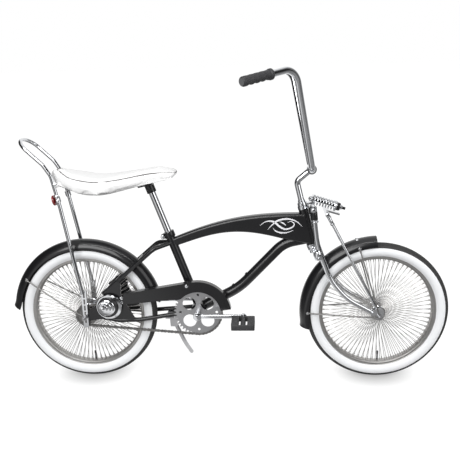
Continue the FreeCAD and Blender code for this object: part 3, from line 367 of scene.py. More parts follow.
# tyres
tyre = {"steps": 108, "points": 34, "wrap": 135, "ring": 228.0, "round": 25.6, "rimEdge": 211.4,
        "bead": 15.3, "beadLow": 206.5, "inside": [(12, 206.5), (14, 215), (20, 226), (12, 246), (0, 250.4)],
        "treadLow": 246.8, "treadHalf": 15.5, "blockRise": 0.9, "blockGap": 1.3,
        "bandLow": 205.0, "bandHigh": 240.5, "bandSide": 15.0, "bandFacing": 0.3}


def makeTyre(name, hub, body, node):
    skin = []
    for i in range(tyre["points"] + 1):
        turn = math.radians(-tyre["wrap"] + 2 * tyre["wrap"] * i / tyre["points"])
        y, r = tyre["round"] * math.sin(turn), tyre["ring"] + tyre["round"] * math.cos(turn)
        if r > tyre["rimEdge"]:
            skin.append((y, r))
    bead = [(tyre["bead"], tyre["beadLow"])]
    obj = spun(name, mirrored(bead) + skin + bead + tyre["inside"] + mirrored(tyre["inside"][:-1]), hub,
               tyre["steps"])

    def inTread(face):
        spot = face.center - hub
        out = Vector((spot.x, 0, spot.z))
        return out.length > tyre["treadLow"] and abs(spot.y) < tyre["treadHalf"] and face.normal.dot(out) > 0

    pickFaces(obj, inTread)
    bpy.ops.mesh.inset(thickness=tyre["blockGap"] / 2, depth=tyre["blockRise"], use_individual=True)
    bpy.ops.object.mode_set(mode="OBJECT")
    obj.data.materials.append(rubberMat)
    obj.data.materials.append(sidewallMat)
    for face in obj.data.polygons:
        spot = face.center - hub
        inBand = tyre["bandLow"] < math.hypot(spot.x, spot.z) < tyre["bandHigh"]
        if inBand and abs(spot.y) > tyre["bandSide"] and abs(face.normal.y) > tyre["bandFacing"]:
            face.material_index = 1 if face.normal.y * spot.y > 0 else 0
    keepPiece(obj, name, body, None, (node,), smooth=28)


makeTyre("rearTyreTread", rearHub, "rear_wheel", "rear_tyre")
makeTyre("frontTyreTread", frontHub, "front_wheel", "front_tyre")
print("tyres made")

# wire wheels: rim, hub and seventy spokes a side
wheel = {"steps": 120, "well": [(9, 198.6), (15.6, 203.6), (15.6, 211)],
         "rim": [(17.5, 211), (17.7, 208), (16.3, 206.5), (15.9, 200.6), (12.5, 197.2), (8.5, 195.6)],
         "hubSteps": 64, "hubEnd": [(-34, 5), (-34, 11.5), (-32.5, 13), (-29.6, 14)], "hubRound": 1.2,
         "flangeHalf": 29.0, "flangeThick": 4.0,
         "flange": {"rear": 40.0, "front": 27.0}, "barrel": {"rear": 17.0, "front": 15.0},
         "spokes": 70, "spokeRadius": 1.0, "spokeTop": 196.6, "spokeSpread": 6.0,
         "nippleLong": 10.0, "nippleRadius": 1.7, "elbowRadius": 1.9,
         "valveAhead": 8.0, "valve": [(-194, -166, 3, 0.6), (-172, -160, 3.8, 0.8)]}


def makeWheel(prefix, hub, body, node):
    disc, barrel = wheel["flange"][prefix], wheel["barrel"][prefix]
    out, inner = wheel["flangeHalf"], wheel["flangeHalf"] - wheel["flangeThick"]
    section = wheel["rim"] + mirrored(wheel["rim"]) + mirrored(wheel["well"]) + wheel["well"]
    rim = spun(prefix + "Rim", section, hub, wheel["steps"])
    edge = disc - wheel["hubRound"]
    shape = wheel["hubEnd"] + [(-out, edge), (1 - out, disc), (-inner - 1, disc), (-inner, edge),
                               (1 - inner, barrel + 5), (6 - inner, barrel)]
    shell = spun(prefix + "HubShell", shape + mirrored(shape), hub, wheel["hubSteps"])
    spokes, count = [], wheel["spokes"]
    for side in (-1, 1):
        across = Vector((0, side, 0))
        root = hub + across * (out - wheel["flangeThick"] / 2) + Vector((0, 0, disc - 3))
        tip = hub + across * wheel["spokeSpread"] + Vector((0, 0, wheel["spokeTop"]))
        run = (tip - root).normalized()
        strand = joined("strand", [
            barBetween("spoke", root, tip, wheel["spokeRadius"], 6),
            barBetween("nipple", tip - run * wheel["nippleLong"], tip, wheel["nippleRadius"], 6),
            barBetween("elbow", root - across * 3, root + across * 2.4, wheel["elbowRadius"], 6)])
        first = Matrix.Rotation(math.tau * 0.5 * (side > 0) / count, 4, "Y")      # half a pitch apart
        strand.data.transform(Matrix.Translation(hub) @ first @ Matrix.Translation(-hub))
        editAll(strand)
        bpy.ops.mesh.spin(steps=count - 1, angle=math.tau * (count - 1) / count, center=hub, axis=(0, 1, 0),
                          dupli=True)
        bpy.ops.object.mode_set(mode="OBJECT")
        spokes.append(strand)
    keepPiece(rim, prefix + "Rim", body, rimMat, (node,))
    keepPiece(shell, prefix + "HubShell", body, chromeMat, (node,))
    keepPiece(spokes, prefix + "Spokes", body, rimMat, (node,))
    valve = [barBetween("valve", hub + Vector((wheel["valveAhead"], 0, low)),
                        hub + Vector((wheel["valveAhead"], 0, high)), radius, 12, lip)
             for low, high, radius, lip in wheel["valve"]]
    keepPiece(valve, prefix + "Valve", body, plasticMat)


makeWheel("rear", rearHub, "rear_wheel", "rear_wire_wheel")
makeWheel("front", frontHub, "front_wheel", "front_wire_wheel")
print("wire wheels made")

# chain: links along the loop round both sprockets
chain = {"pitch": 12.7, "ringTeeth": 42, "sprocketTeeth": 18, "line": -45.0, "plateThick": 1.0,
         "plateHigh": 8.6, "waist": 6.6, "rollerRadius": 3.9, "innerHalf": 2.3, "outerHalf": 3.5,
         "pinRadius": 1.8, "pinOver": 1.1}


def loopPoints():
    ringRadius = chain["pitch"] / (2 * math.sin(math.pi / chain["ringTeeth"]))
    cogRadius = chain["pitch"] / (2 * math.sin(math.pi / chain["sprocketTeeth"]))
    ring, cog = Vector((bracket.x, bracket.z)), Vector((rearHub.x, rearHub.z))
    apart = (cog - ring).length
    along = (cog - ring) / apart
    across = Vector((-along.y, along.x))
    tilt = math.asin((ringRadius - cogRadius) / apart)
    up = along * math.sin(tilt) - across * math.cos(tilt)
    down = along * math.sin(tilt) + across * math.cos(tilt)
    angleUp, angleDown = math.atan2(up.y, up.x), math.atan2(down.y, down.x)
    rows = [ring + up * ringRadius]

    def sweep(centre, radius, start, stop, count):
        for i in range(count + 1):
            t = start + (stop - start) * i / count
            rows.append(centre + Vector((math.cos(t), math.sin(t))) * radius)

    sweep(cog, cogRadius, angleUp, angleDown + math.tau, 40)
    rows.append(ring + down * ringRadius)
    sweep(ring, ringRadius, angleDown, angleUp, 80)
    return rows


def evenly(points, pitch):
    lengths = [0.0]
    for p, q in zip(points, points[1:]):
        lengths.append(lengths[-1] + (q - p).length)
    count = 2 * round(lengths[-1] / pitch / 2)
    step = lengths[-1] / count
    spots, k = [], 0
    for i in range(count):
        want = i * step
        while lengths[k + 1] < want:
            k += 1
        t = (want - lengths[k]) / max(lengths[k + 1] - lengths[k], 1e-6)
        spots.append(points[k].lerp(points[k + 1], t))
    return spots


def endBars(name, low, high, radius, sides):      # one across each end of a link
    return [barBetween(name, Vector((x, low, 0)), Vector((x, high, 0)), radius, sides)
            for x in (-chain["pitch"] / 2, chain["pitch"] / 2)]


def linkPlate(name, y):
    thick = chain["plateThick"]
    plate = slab(name, Vector((0, y, 0)), (chain["pitch"], thick, chain["waist"]))
    ends = endBars(name + "End", y - thick / 2, y + thick / 2, chain["plateHigh"] / 2, 10)
    return joined(name, [plate] + ends)


def makeChain():
    spots = evenly(loopPoints(), chain["pitch"])
    inner, outer = chain["innerHalf"], chain["outerHalf"]
    pinHalf = outer + chain["pinOver"]
    wide = joined("outerLink", [linkPlate("outerRight", -outer), linkPlate("outerLeft", outer)]
                  + endBars("pin", -pinHalf, pinHalf, chain["pinRadius"], 8))
    slim = joined("innerLink", [linkPlate("innerRight", -inner), linkPlate("innerLeft", inner)]
                  + endBars("roller", -inner, inner, chain["rollerRadius"], 10))
    links = []
    for i, spot in enumerate(spots):
        after = spots[(i + 1) % len(spots)]
        middle, line = (spot + after) / 2, after - spot
        turn = Matrix.Rotation(-math.atan2(line.y, line.x), 4, "Y")
        move = Matrix.Translation(Vector((middle.x, chain["line"], middle.y))) @ turn
        links.append(copyOf(wide if i % 2 else slim, move))
    for spare in (wide, slim):
        bpy.data.objects.remove(spare)
    keepPiece(links, "chainLinks", "frame", darkSteelMat, ("chain",), smooth=40)


makeChain()
print("chain made")

# seat: the CAD cushion, rounded in plan, then filled and swollen as cloth
seat = {"voxel": 0.005, "pressure": 4.0, "cap": 0.007, "frames": 16, "crown": 5.0, "topFacing": 0.3,
        "solidHalf": 95.0, "leastHalf": 10.0, "backRound": 90.0, "backLeast": 0.06,
        "tailStart": 60.0, "tailLong": 120.0, "tailReach": 12.0, "tailDrop": 8.0,
        "plan": [(-84, 0), (-82, 14), (-75, 28), (-57, 42), (-43, 51), (-24, 63), (-2, 75), (40, 84),
                 (75, 91), (110, 93), (160, 84), (210, 73), (260, 63), (310, 59), (338, 53), (350, 34),
                 (355, 0)]}


def nodeCopy(nodeName, name):
    source = frame["nodes"][nodeName]      # the node itself is left untouched
    obj = source.copy()
    obj.data = source.data.copy()
    obj.parent = None
    for key in list(obj.keys()):
        if key.startswith("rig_"):
            del obj[key]
    bpy.context.scene.collection.objects.link(obj)
    obj.name = name
    return obj


def makeCushion():
    obj = nodeCopy("seat_cushion", "seatCushion")
    editAll(obj)
    bpy.ops.mesh.remove_doubles(threshold=0.00005)
    bpy.ops.object.mode_set(mode="OBJECT")
    applied(obj, "REMESH", mode="VOXEL", voxel_size=seat["voxel"])
    applied(obj, "SMOOTH", iterations=6, factor=0.5)
    obj.data.transform((toFrame @ mm).inverted())
    for vertex in obj.data.vertices:        # the tail end is round in plan, and the top is crowned
        spot = vertex.co
        if spot.x < seat["backRound"]:
            spot.y *= max(seat["backLeast"], between(seat["plan"], spot.x) / seat["solidHalf"])
        tail = min(1.0, max(0.0, (seat["tailStart"] - spot.x) / seat["tailLong"]))
        spot.x -= seat["tailReach"] * tail * tail
        if vertex.normal.z > seat["topFacing"]:
            spot.z -= seat["tailDrop"] * tail
            half = max(between(seat["plan"], spot.x), seat["leastHalf"])
            spot.z += seat["crown"] * max(0.0, 1 - (spot.y / half) ** 2)
    obj.data.transform(toFrame @ mm)
    applied(obj, "SMOOTH", iterations=4, factor=0.5)
    rest = [v.co.copy() for v in obj.data.vertices]
    take(obj)
    cloth = obj.modifiers.new("Fill", "CLOTH")
    cloth.settings.use_pressure = True
    cloth.settings.uniform_pressure_force = seat["pressure"]
    cloth.settings.quality = 5
    cloth.settings.effector_weights.gravity = 0
    for step in range(1, seat["frames"] + 1):
        bpy.context.scene.frame_set(step)
    bpy.ops.object.modifier_apply(modifier=cloth.name)
    bpy.context.scene.frame_set(1)
    for vertex, was in zip(obj.data.vertices, rest):
        move = vertex.co - was
        if move.length > seat["cap"]:
            move = move.normalized() * seat["cap"]
        vertex.co = was + move
    applied(obj, "SUBSURF", levels=1, render_levels=1)
    keepPiece(obj, "seatCushion", "frame", vinylMat, ("seat_cushion",), leaned=False,
              smooth=60)
    return obj


cushion = makeCushion()

# piping laid along the cushion's edge, found level by level from outside
piping = {"radius": 1.7, "rise": 0.0003, "middleFrom": -30.0, "middleTo": 300.0, "reach": 200.0,
          "lowest": 30, "step": 2,
          "height": [(-92, 795), (-75, 793), (-57, 784), (-43, 778), (-24, 769), (-2, 762), (37, 754),
                     (72, 751), (107, 752), (172, 759), (244, 772), (290, 778), (341, 776), (350, 771),
                     (356, 770)]}


def makePiping():
    near = [(x, -half) for x, half in seat["plan"]]
    loop = near + [(x, -y) for x, y in reversed(near[1:-1])]
    points = []
    for x, y in loop:
        level = between(piping["height"], x)
        middle = Vector((min(max(x, piping["middleFrom"]), piping["middleTo"]), 0, level))
        outward = (Vector((x, y, level)) - middle).normalized()
        aim = toFrame.to_3x3() @ -outward
        for lower in range(0, piping["lowest"], piping["step"]):
            start = middle + outward * piping["reach"] - Vector((0, 0, lower))
            found, place, normal, _ = cushion.ray_cast(toFrame @ (start / 1000), aim)
            if found:
                points.append(place + normal * piping["rise"])
                break
    pipe = tubeAlong("seatPiping", points, piping["radius"] / 1000)
    keepPiece(pipe, "seatPiping", "frame", pipingMat, leaned=False, smooth=60)


makePiping()
print("cushion made")

# back rail's loop: its upper end stands a little more upright than the solid's
rail = {"low": 785.0, "high": 895.0, "forward": 16.0}


def makeRail():
    obj = nodeCopy("sissy_loop", "backRail")
    obj.data.transform((toFrame @ mm).inverted())
    for vertex in obj.data.vertices:
        rise = (vertex.co.z - rail["low"]) / (rail["high"] - rail["low"])
        vertex.co.x += rail["forward"] * max(0.0, min(1.2, rise))
    obj.data.transform(toFrame @ mm)
    keepPiece(obj, "backRail", "frame", chromeMat, ("sissy_loop",), leaned=False, smooth=40)


makeRail()
print("back rail made")

# grips: ribbed plastic with four finger grooves underneath
grip = {"length": 118.0, "radius": 15.2, "cuts": 48, "collar": 17.5, "collarFrom": 0.93,
        "grooves": 4, "depth": 2.4, "grooveFrom": 0.12, "grooveTo": 0.88, "tip": 0.03, "tipRound": 3.0,
        "ribs": 20, "ribHigh": 0.35, "ribFrom": 0.05, "ribTo": 0.92}


def gripRadius(t, turn):      # t runs from the bar's end to the collar, turn from the underside
    if t > grip["collarFrom"]:
        return grip["collar"]
    wave, out = 0.0, grip["radius"]
    if grip["grooveFrom"] < t < grip["grooveTo"]:
        along = (t - grip["grooveFrom"]) / (grip["grooveTo"] - grip["grooveFrom"])
        wave = 0.5 - 0.5 * math.cos(math.tau * grip["grooves"] * along)
    if t < grip["tip"]:
        out -= grip["tipRound"] * (grip["tip"] - t) / grip["tip"]
    under = max(0.0, math.cos(turn)) ** 1.5
    out -= grip["depth"] * wave * (0.25 + 0.75 * under)
    if grip["ribFrom"] < t < grip["ribTo"]:
        out += grip["ribHigh"] * math.cos(turn * grip["ribs"])
    return out


def makeGrip(side):
    end, bend = Vector((594, side * 285, 1074)), Vector((757, side * 140, 1112))
    line = (bend - end).normalized()
    name = "gripRight" if side < 0 else "gripLeft"
    fresh()
    bpy.ops.mesh.primitive_cylinder_add(vertices=40, radius=grip["radius"], depth=grip["length"],
                                        end_fill_type="NOTHING")
    obj = bpy.context.object
    editAll(obj)
    for cut in range(1, grip["cuts"]):
        bpy.ops.mesh.select_all(action="SELECT")
        level = -grip["length"] / 2 + grip["length"] * cut / grip["cuts"]
        bpy.ops.mesh.bisect(plane_co=(0, 0, level), plane_no=(0, 0, 1))
    bpy.ops.object.mode_set(mode="OBJECT")
    for vertex in obj.data.vertices:
        turn = math.atan2(vertex.co.y, vertex.co.x)
        out = gripRadius(vertex.co.z / grip["length"] + 0.5, turn)
        vertex.co.x, vertex.co.y = out * math.cos(turn), out * math.sin(turn)
    closeEnds(obj)
    down = Vector((0, 0, -1))
    down = (down - line * down.dot(line)).normalized()
    axes = Matrix((down, line.cross(down), line)).transposed().to_4x4()
    obj.data.transform(Matrix.Translation(end + line * grip["length"] / 2) @ axes)
    return keepPiece(obj, name, "steering", plasticMat, smooth=30)


gripRight, gripLeft = makeGrip(-1), makeGrip(1)
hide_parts("grips")
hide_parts("grips")
print("grips made")

# fork spring: an open coil on its bolt, with a cap and nut ahead
coil = {"start": Vector((823, 0, 668)), "end": Vector((906, 0, 642)), "radius": 15.4, "wire": 2.6,
        "turns": 8, "steps": 28, "seatRadius": 17.4, "seatThick": 2.2}


def makeCoil():
    line = coil["end"] - coil["start"]
    along = line.normalized()
    fresh()
    bpy.ops.mesh.primitive_circle_add(vertices=10, radius=coil["wire"], location=(coil["radius"], 0, 0),
                                      rotation=(math.radians(90), 0, 0))
    obj = settle(bpy.context.object)
    screw = obj.modifiers.new("Coil", "SCREW")
    screw.axis = "Z"
    screw.screw_offset = (line.length - 2 * coil["wire"]) / coil["turns"]
    screw.iterations = coil["turns"]
    screw.steps = screw.render_steps = coil["steps"]
    take(obj)
    bpy.ops.object.modifier_apply(modifier=screw.name)
    closeEnds(obj)
    turn = line.to_track_quat("Z", "Y").to_matrix().to_4x4()
    obj.data.transform(Matrix.Translation(coil["start"] + along * coil["wire"]) @ turn)
    thick = along * coil["seatThick"]
    seatBack = barBetween("seatBack", coil["start"], coil["start"] + thick, coil["seatRadius"], 32, 0.6)
    seatFront = barBetween("seatFront", coil["end"] - thick, coil["end"], coil["seatRadius"], 32, 0.6)
    keepPiece([obj, seatBack, seatFront], "forkCoil", "steering", chromeMat, ("fork_spring",),
              smooth=50)


makeCoil()
print("fork coil made")

# pedals: two rubber blocks between end plates on an axle
pedal = {"length": 80.0, "width": 86.0, "high": 26.0, "start": 106.0, "block": 25.0, "padShort": 12.0,
         "ribs": 5, "ribPitch": 14.5, "ribWide": 7.0, "ribRise": 2.4, "plateThick": 5.0, "plateInset": 3.0,
         "barrelRadius": 9.0, "nutSpread": 27.0, "nutRadius": 4.0}


def makePedal(side):
    centre = bracket + Vector((-side * bike["crankLength"], side * (pedal["start"] + pedal["width"] / 2), 0))
    name, body = ("pedalRight", "pedal_right") if side < 0 else ("pedalLeft", "pedal_left")
    half, high, block = pedal["width"] / 2, pedal["high"], pedal["block"]
    pads = []
    for end in (-1, 1):
        spot = centre + Vector((end * (pedal["length"] - block) / 2, 0, 0))
        pads.append(slab("pad", spot, (block, pedal["width"] - pedal["padShort"], high), None, 3, 3))
        for level in (-1, 1):
            for i in range(pedal["ribs"]):
                y = (i - (pedal["ribs"] - 1) / 2) * pedal["ribPitch"]
                pads.append(slab("rib", spot + Vector((0, y, level * high / 2)),
                                 (block - 6, pedal["ribWide"], pedal["ribRise"]), None, 0.8, 1))
    keepPiece(pads, name + "Rubber", body, plasticMat, (body,))
    cage = [slab("plate", centre + Vector((0, end * (half - pedal["plateInset"]), 0)),
                 (pedal["length"] - 6, pedal["plateThick"], high - 5), None, 4, 3) for end in (-1, 1)]
    reach = Vector((0, half - 4, 0))
    cage.append(barBetween("barrel", centre - reach, centre + reach, pedal["barrelRadius"], 24, 1))
    for end in (-1, 1):
        spot = centre + Vector((end * pedal["nutSpread"], side * half, 0))
        cage.append(barBetween("nut", spot - Vector((0, side * 2, 0)), spot + Vector((0, side * 1.5, 0)),
                               pedal["nutRadius"], 6, 0.4))
    keepPiece(cage, name + "Cage", body, plasticMat)


makePedal(-1)
makePedal(1)
print("pedals made")

# crank: forged arms, slim between their bosses
crank = {"half": 88.0, "spindle": 9.5, "root": 15.0, "tip": 11.0, "thick": 10.0, "high": 14.5,
         "armShort": 8.0, "boss": 13.0, "nutFrom": 5.0, "nutTo": 11.0, "nutRadius": 9.0, "axle": 18.0,
         "axleRadius": 5.5}


def makeCrank():
    across = Vector((0, crank["half"], 0))
    parts = [barBetween("spindle", bracket - across, bracket + across, crank["spindle"], 32)]
    for side in (-1, 1):
        out = Vector((0, side, 0))
        root = bracket + out * crank["half"]
        tip = root + Vector((-side * bike["crankLength"], 0, 0))
        away = Vector((0, crank["boss"] / 2, 0))
        sizes = (bike["crankLength"] - crank["armShort"], crank["thick"], crank["high"])
        parts += [
            slab("arm", (root + tip) / 2, sizes, None, 3.5, 3),
            barBetween("armRoot", root - away, root + away, crank["root"], 40, 1.6),
            barBetween("armTip", tip - away, tip + away, crank["tip"], 32, 1.6),
            barBetween("rootNut", root + out * crank["nutFrom"], root + out * crank["nutTo"],
                       crank["nutRadius"], 6, 1.2),
            barBetween("pedalAxle", tip, tip + out * crank["axle"], crank["axleRadius"], 20)]
    keepPiece(parts, "crankArms", "crank", chromeMat, ("crank",), smooth=40)


makeCrank()
print("crank made")

# fork details: rounded crown, spring cap, ferrules and bolts
fork = {"headLow": Vector((820, 0, 508)), "tilt": 13.0, "cup": 11.0, "headLength": 130.0, "legHalf": 52.0,
        "crownDrop": 22.0, "crownAhead": 13.0, "crownDeep": 34.0, "socket": 15.5, "socketHalf": 16.0,
        "pinch": 8.0, "pinchLong": 4.5, "pinchRadius": 4.2, "race": 17.0, "steerer": 12.7,
        "hangerDrop": 30.0, "hangerLong": 34.0, "hangerRadius": 7.0}
steerLine = Vector((-math.sin(math.radians(fork["tilt"])), 0, math.cos(math.radians(fork["tilt"]))))
steerAhead = Vector((steerLine.z, 0, -steerLine.x))


def steerPoint(along, ahead=0.0, y=0.0):
    return fork["headLow"] + steerLine * along + steerAhead * ahead + Vector((0, y, 0))


def makeCrown():
    middle, ahead = -fork["cup"] - fork["crownDrop"], fork["crownAhead"]
    parts = [slab("crownBridge", steerPoint(middle, ahead), (fork["crownDeep"], 2 * fork["legHalf"], 22),
                  steerLine.rotation_difference(Vector((0, 0, 1))).inverted(), 8, 4)]
    for side in (-1, 1):
        y = side * fork["legHalf"]
        parts.append(barBetween("crownSocket", steerPoint(middle - fork["socketHalf"], ahead, y),
                                steerPoint(middle + fork["socketHalf"], ahead, y), fork["socket"], 32, 2.5))
        for level in (-fork["pinch"], fork["pinch"]):
            spot = steerPoint(middle + level, ahead, y + side * (fork["socket"] - 1))
            parts.append(barBetween("pinchBolt", spot, spot + Vector((0, side * fork["pinchLong"], 0)),
                                    fork["pinchRadius"], 6, 0.7))
    base = steerPoint(-fork["cup"] - fork["hangerDrop"], ahead)
    hanger = base + (frontHub - base).normalized() * fork["hangerLong"]
    under, top = steerPoint(-fork["cup"] - 0.5), steerPoint(fork["headLength"] + 23)
    parts += [barBetween("crownRace", steerPoint(middle + 10), under, fork["race"], 32, 1.5),
              barBetween("steerer", steerPoint(middle), top, fork["steerer"], 32),
              barBetween("fenderHanger", base, hanger, fork["hangerRadius"], 20, 1)]
    keepPiece(parts, "forkCrown", "steering", chromeMat, ("fork_crown",), smooth=40)


# each row: start, end, radius, sides and lip; spring rows run along the coil from its nose or its start
trim = {"half": 52.0, "nose": 80.5, "strutFoot": (1049, 277), "strutTop": (871, 622),
        "springCap": (4.6, 18.5, 14.2, 28, 2.0), "springRing": (-0.5, 4.4, 18.6, 36, 1.2),
        "capNut": (18.5, 27, 8.5, 6, 1.2), "backNut": (-11, -3, 9.5, 6, 1.2),
        "strutFerrule": (6, 34, 6.6, 20, 1.4), "strutNut": (34, 40, 7.6, 6, 1.0),
        "pivotNut": ((871, 60, 622), (871, 65.5, 622), 8.5, 6, 1.2),
        "legTopNut": ((822, 63.5, 640), (822, 69, 640), 8, 6, 1.2),
        "legRing": ((827.6, 52, 601), (828.2, 52, 596), 13.2, 28, 1.2),
        "legSleeve": ((823.6, 52, 634), (826.6, 52, 606), 12.5, 28, 0.8)}


def trimAlong(name, base, way):
    start, end, *shape = trim[name]
    return barBetween(name, base + way * start, base + way * end, *shape)


def trimAt(name, side):
    (x0, y0, z0), (x1, y1, z1), *shape = trim[name]
    return barBetween(name, Vector((x0, side * y0, z0)), Vector((x1, side * y1, z1)), *shape)


def makeForkTrim():
    along = (coil["end"] - coil["start"]).normalized()
    nose = coil["start"] + along * trim["nose"]
    dark = [trimAlong("springCap", nose, along)]
    bright = [trimAlong("springRing", nose, along), trimAlong("capNut", nose, along),
              trimAlong("backNut", coil["start"], along)]
    for side in (-1, 1):
        foot, top = (Vector((x, side * trim["half"], z)) for x, z in (trim["strutFoot"], trim["strutTop"]))
        run = (foot - top).normalized()
        bright += [trimAlong("strutFerrule", top, run), trimAlong("strutNut", top, run)]
        bright += [trimAt(name, side) for name in ("pivotNut", "legTopNut", "legRing")]
        dark.append(trimAt("legSleeve", side))
    keepPiece(bright, "forkTrimBright", "steering", chromeMat, smooth=40)
    keepPiece(dark, "forkTrimDark", "steering", paintMat, smooth=40)


makeCrown()
makeForkTrim()
print("fork details made")

# bolts: a washer under a hexagon or button head; rows of place, radius, sides and rise stand under
# the sides that carry them
smallBolts = {
    "frame": {(-1,): [((137, 63.1, 326), 4.5, 16, 2.4), ((137, 63.1, 310), 4.5, 16, 2.4),
                      ((376, 63.1, 371), 4.5, 16, 2.4)],
              (-1, 1): [((-214, 34.6, 387), 4.2, 16, 3), ((-62, 67.5, 700), 5, 6, 5),
                        ((-60, 67.5, 686), 4.4, 6, 5), ((-66, 64, 742), 5.5, 6, 5)]},
    "steering": {(-1, 1): [((986, 36.5, 495), 4.2, 16, 3), ((806, 36.5, 256), 4.2, 16, 3)]},
}
washer = {"sink": 2.0, "rise": 0.9, "wide": 1.35}


def makeBolt(spot, way, radius, sides, rise):
    return [barBetween("washer", spot - way * washer["sink"], spot + way * washer["rise"],
                       radius * washer["wide"], 20, 0.3),
            barBetween("head", spot, spot + way * rise, radius, sides, min(1.2, rise * 0.35))]


for boltBody, groups in smallBolts.items():
    heads = []
    for sides, rows in groups.items():
        for side in sides:
            for (x, y, z), *shape in rows:
                heads += makeBolt(Vector((x, side * y, z)), Vector((0, side, 0)), *shape)
    keepPiece(heads, "smallBolts_" + boltBody, boltBody, chromeMat, smooth=40)

# button rivets that hold the front fender's brace, found on the fender's own skin
rivets = {"x": 978.0, "z": 527.0, "half": 20.0, "back": 12.0, "out": 120.0, "over": 60.0, "radius": 5.2,
          "sink": 1.5, "rise": 2.6}


def makeRivets():
    heads = []
    for side in (-1, 1):
        x, z = rivets["x"], rivets["z"]
        start = Vector((x - rivets["back"], side * rivets["out"], z + rivets["over"])) / 1000
        aim = Vector((x, side * rivets["half"], z)) / 1000 - start
        hit, place, normal, _ = frame["nodes"]["front_fender"].ray_cast(
            toFrame @ start, toFrame.to_3x3() @ aim.normalized())
        if hit:
            spot = (toFrame.inverted() @ place) * 1000
            way = toFrame.inverted().to_3x3() @ normal
            heads.append(barBetween("rivet", spot - way * rivets["sink"], spot + way * rivets["rise"],
                                    rivets["radius"], 20, 1.6))
    keepPiece(heads, "fenderRivets", "steering", chromeMat, smooth=60)


makeRivets()
print("bolts made")

# seat collar: a split black ring with an ear and a chrome pinch bolt behind
collar = {"top": Vector((309.85, 0, 557.28)), "tilt": 19.5, "length": 22.0, "radius": 20.0, "ear": 12.0,
          "earHalf": 5.5, "earThick": 7.0, "earHigh": 17.0,
          "bolt": [("pinchBolt", -15, 15, 3.2, 14, 0), ("pinchHead", -17.5, -9, 7.6, 24, 2.2),
                   ("pinchNut", 9, 14.5, 6.4, 6, 1.0)]}


def makeCollar():
    line = Vector((-math.sin(math.radians(collar["tilt"])), 0, math.cos(math.radians(collar["tilt"]))))
    low, middle = collar["top"] - line * collar["length"], collar["top"] - line * collar["length"] / 2
    back = Vector((-line.z, 0, line.x))
    turn = line.rotation_difference(Vector((0, 0, 1))).inverted()
    ring = barBetween("collarRing", low, collar["top"], collar["radius"], 48, 1.2)
    ear = middle + back * (collar["radius"] + collar["ear"] / 2 - 3)
    plates = [slab("ear", ear + Vector((0, side * collar["earHalf"], 0)),
                   (collar["ear"], collar["earThick"], collar["earHigh"]), turn, 1.5, 2) for side in (-1, 1)]
    keepPiece([ring] + plates, "seatCollar", "frame", paintMat, ("seat_collar",), smooth=40)
    bolt = ear + back * 0.5
    parts = [barBetween(name, bolt + Vector((0, start, 0)), bolt + Vector((0, end, 0)), *shape)
             for name, start, end, *shape in collar["bolt"]]
    keepPiece(parts, "seatCollarBolt", "frame", chromeMat, smooth=45)


makeCollar()
print("seat collar made")

# stepped side cups on the dropouts: a disc, a black ring and a bell that leans back
cup = {"centre": Vector((94, 0, 297)), "lean": -0.62, "from": 71.0,
       "disc": [(68.2, 8), (68.2, 44), (69.4, 46), (72.5, 45.6), (74, 43.5), (74, 8)],
       "ring": [(74, 20), (74, 36), (75.2, 37.4), (78.6, 37.4), (80.5, 35.6), (80.5, 20)],
       "bell": [(80.5, 0.6), (80.5, 29), (82, 30.2), (84.5, 30), (86.5, 27.5), (87, 23.6), (89.5, 23.6),
                (91.5, 22.4), (92.5, 20), (93, 16.2), (95.5, 16), (97.5, 14.6), (98.2, 11), (98.6, 7.5),
                (100.4, 7), (101.2, 5), (101.4, 0.6)]}


def makeCup(side):
    ends = "Right" if side < 0 else "Left"
    parts = {}
    for part in ("disc", "ring", "bell"):
        obj = spun(part, [(side * y, r) for y, r in cup[part]], cup["centre"], 56)
        for vertex in obj.data.vertices:
            vertex.co.x += max(0.0, abs(vertex.co.y) - cup["from"]) * cup["lean"]
        parts[part] = obj
    keepPiece([parts["disc"], parts["bell"]], "sideCup" + ends, "frame", chromeMat, ("side_cups",),
              smooth=30)
    keepPiece(parts["ring"], "sideCupRing" + ends, "frame", paintMat, smooth=30)


makeCup(-1)
makeCup(1)
print("side cups made")

# slots in the lower ends of the back rail's legs, not cut: each is a thin dark steel plate on the leg's face,
# painted shade standing for the opening
slots = {"x": 2.0, "y": 64.2, "high": 338.0, "pitch": 24.0, "count": 5, "half": 7.0,
         "radius": 3.1, "thick": 0.7}


def makeSlots(side):
    rows = []
    for i in range(slots["count"]):
        z = slots["high"] - slots["pitch"] * i
        spot = Vector((slots["x"], side * slots["y"], z))
        body = slab("slot", spot, (2 * slots["radius"], slots["thick"], 2 * slots["half"]))
        reach = Vector((0, slots["thick"] / 2, 0))
        ends = [barBetween("slotEnd", tip - reach, tip + reach, slots["radius"], 14)
                for tip in (spot - Vector((0, 0, slots["half"])), spot + Vector((0, 0, slots["half"])))]
        rows.append(joined("slot", [body] + ends))
    name = "railSlots" + ("Right" if side < 0 else "Left")
    keepPiece(rows, name, "frame", darkSteelMat, smooth=40)


makeSlots(-1)
makeSlots(1)
print("rail slots made")

# tank flourish: tapered scrolls laid on both sides of the top beam
flourish = {"bold": 0.72, "rise": 0.0004, "thick": 0.0003, "samples": 44, "from": 80.0,
            "strokes": [
    ([(638, 579), (661, 594), (687, 593), (706, 577), (726, 566), (749, 571), (759, 584), (747, 594),
      (736, 589)],
     [0.5, 2.2, 4.4, 4.8, 4.2, 3.4, 2.6, 1.8, 0.5]),
    ([(666, 565), (679, 579), (698, 595), (723, 602), (747, 601), (770, 591), (786, 574)],
     [0.5, 2.4, 4.4, 4.2, 3.4, 2.2, 0.5]),
    ([(684, 570), (693, 560), (712, 553), (735, 554), (756, 562)], [0.5, 2.4, 3.6, 2.4, 0.5]),
    ([(708, 593), (721, 587), (730, 579)], [0.5, 3.6, 0.5])]}


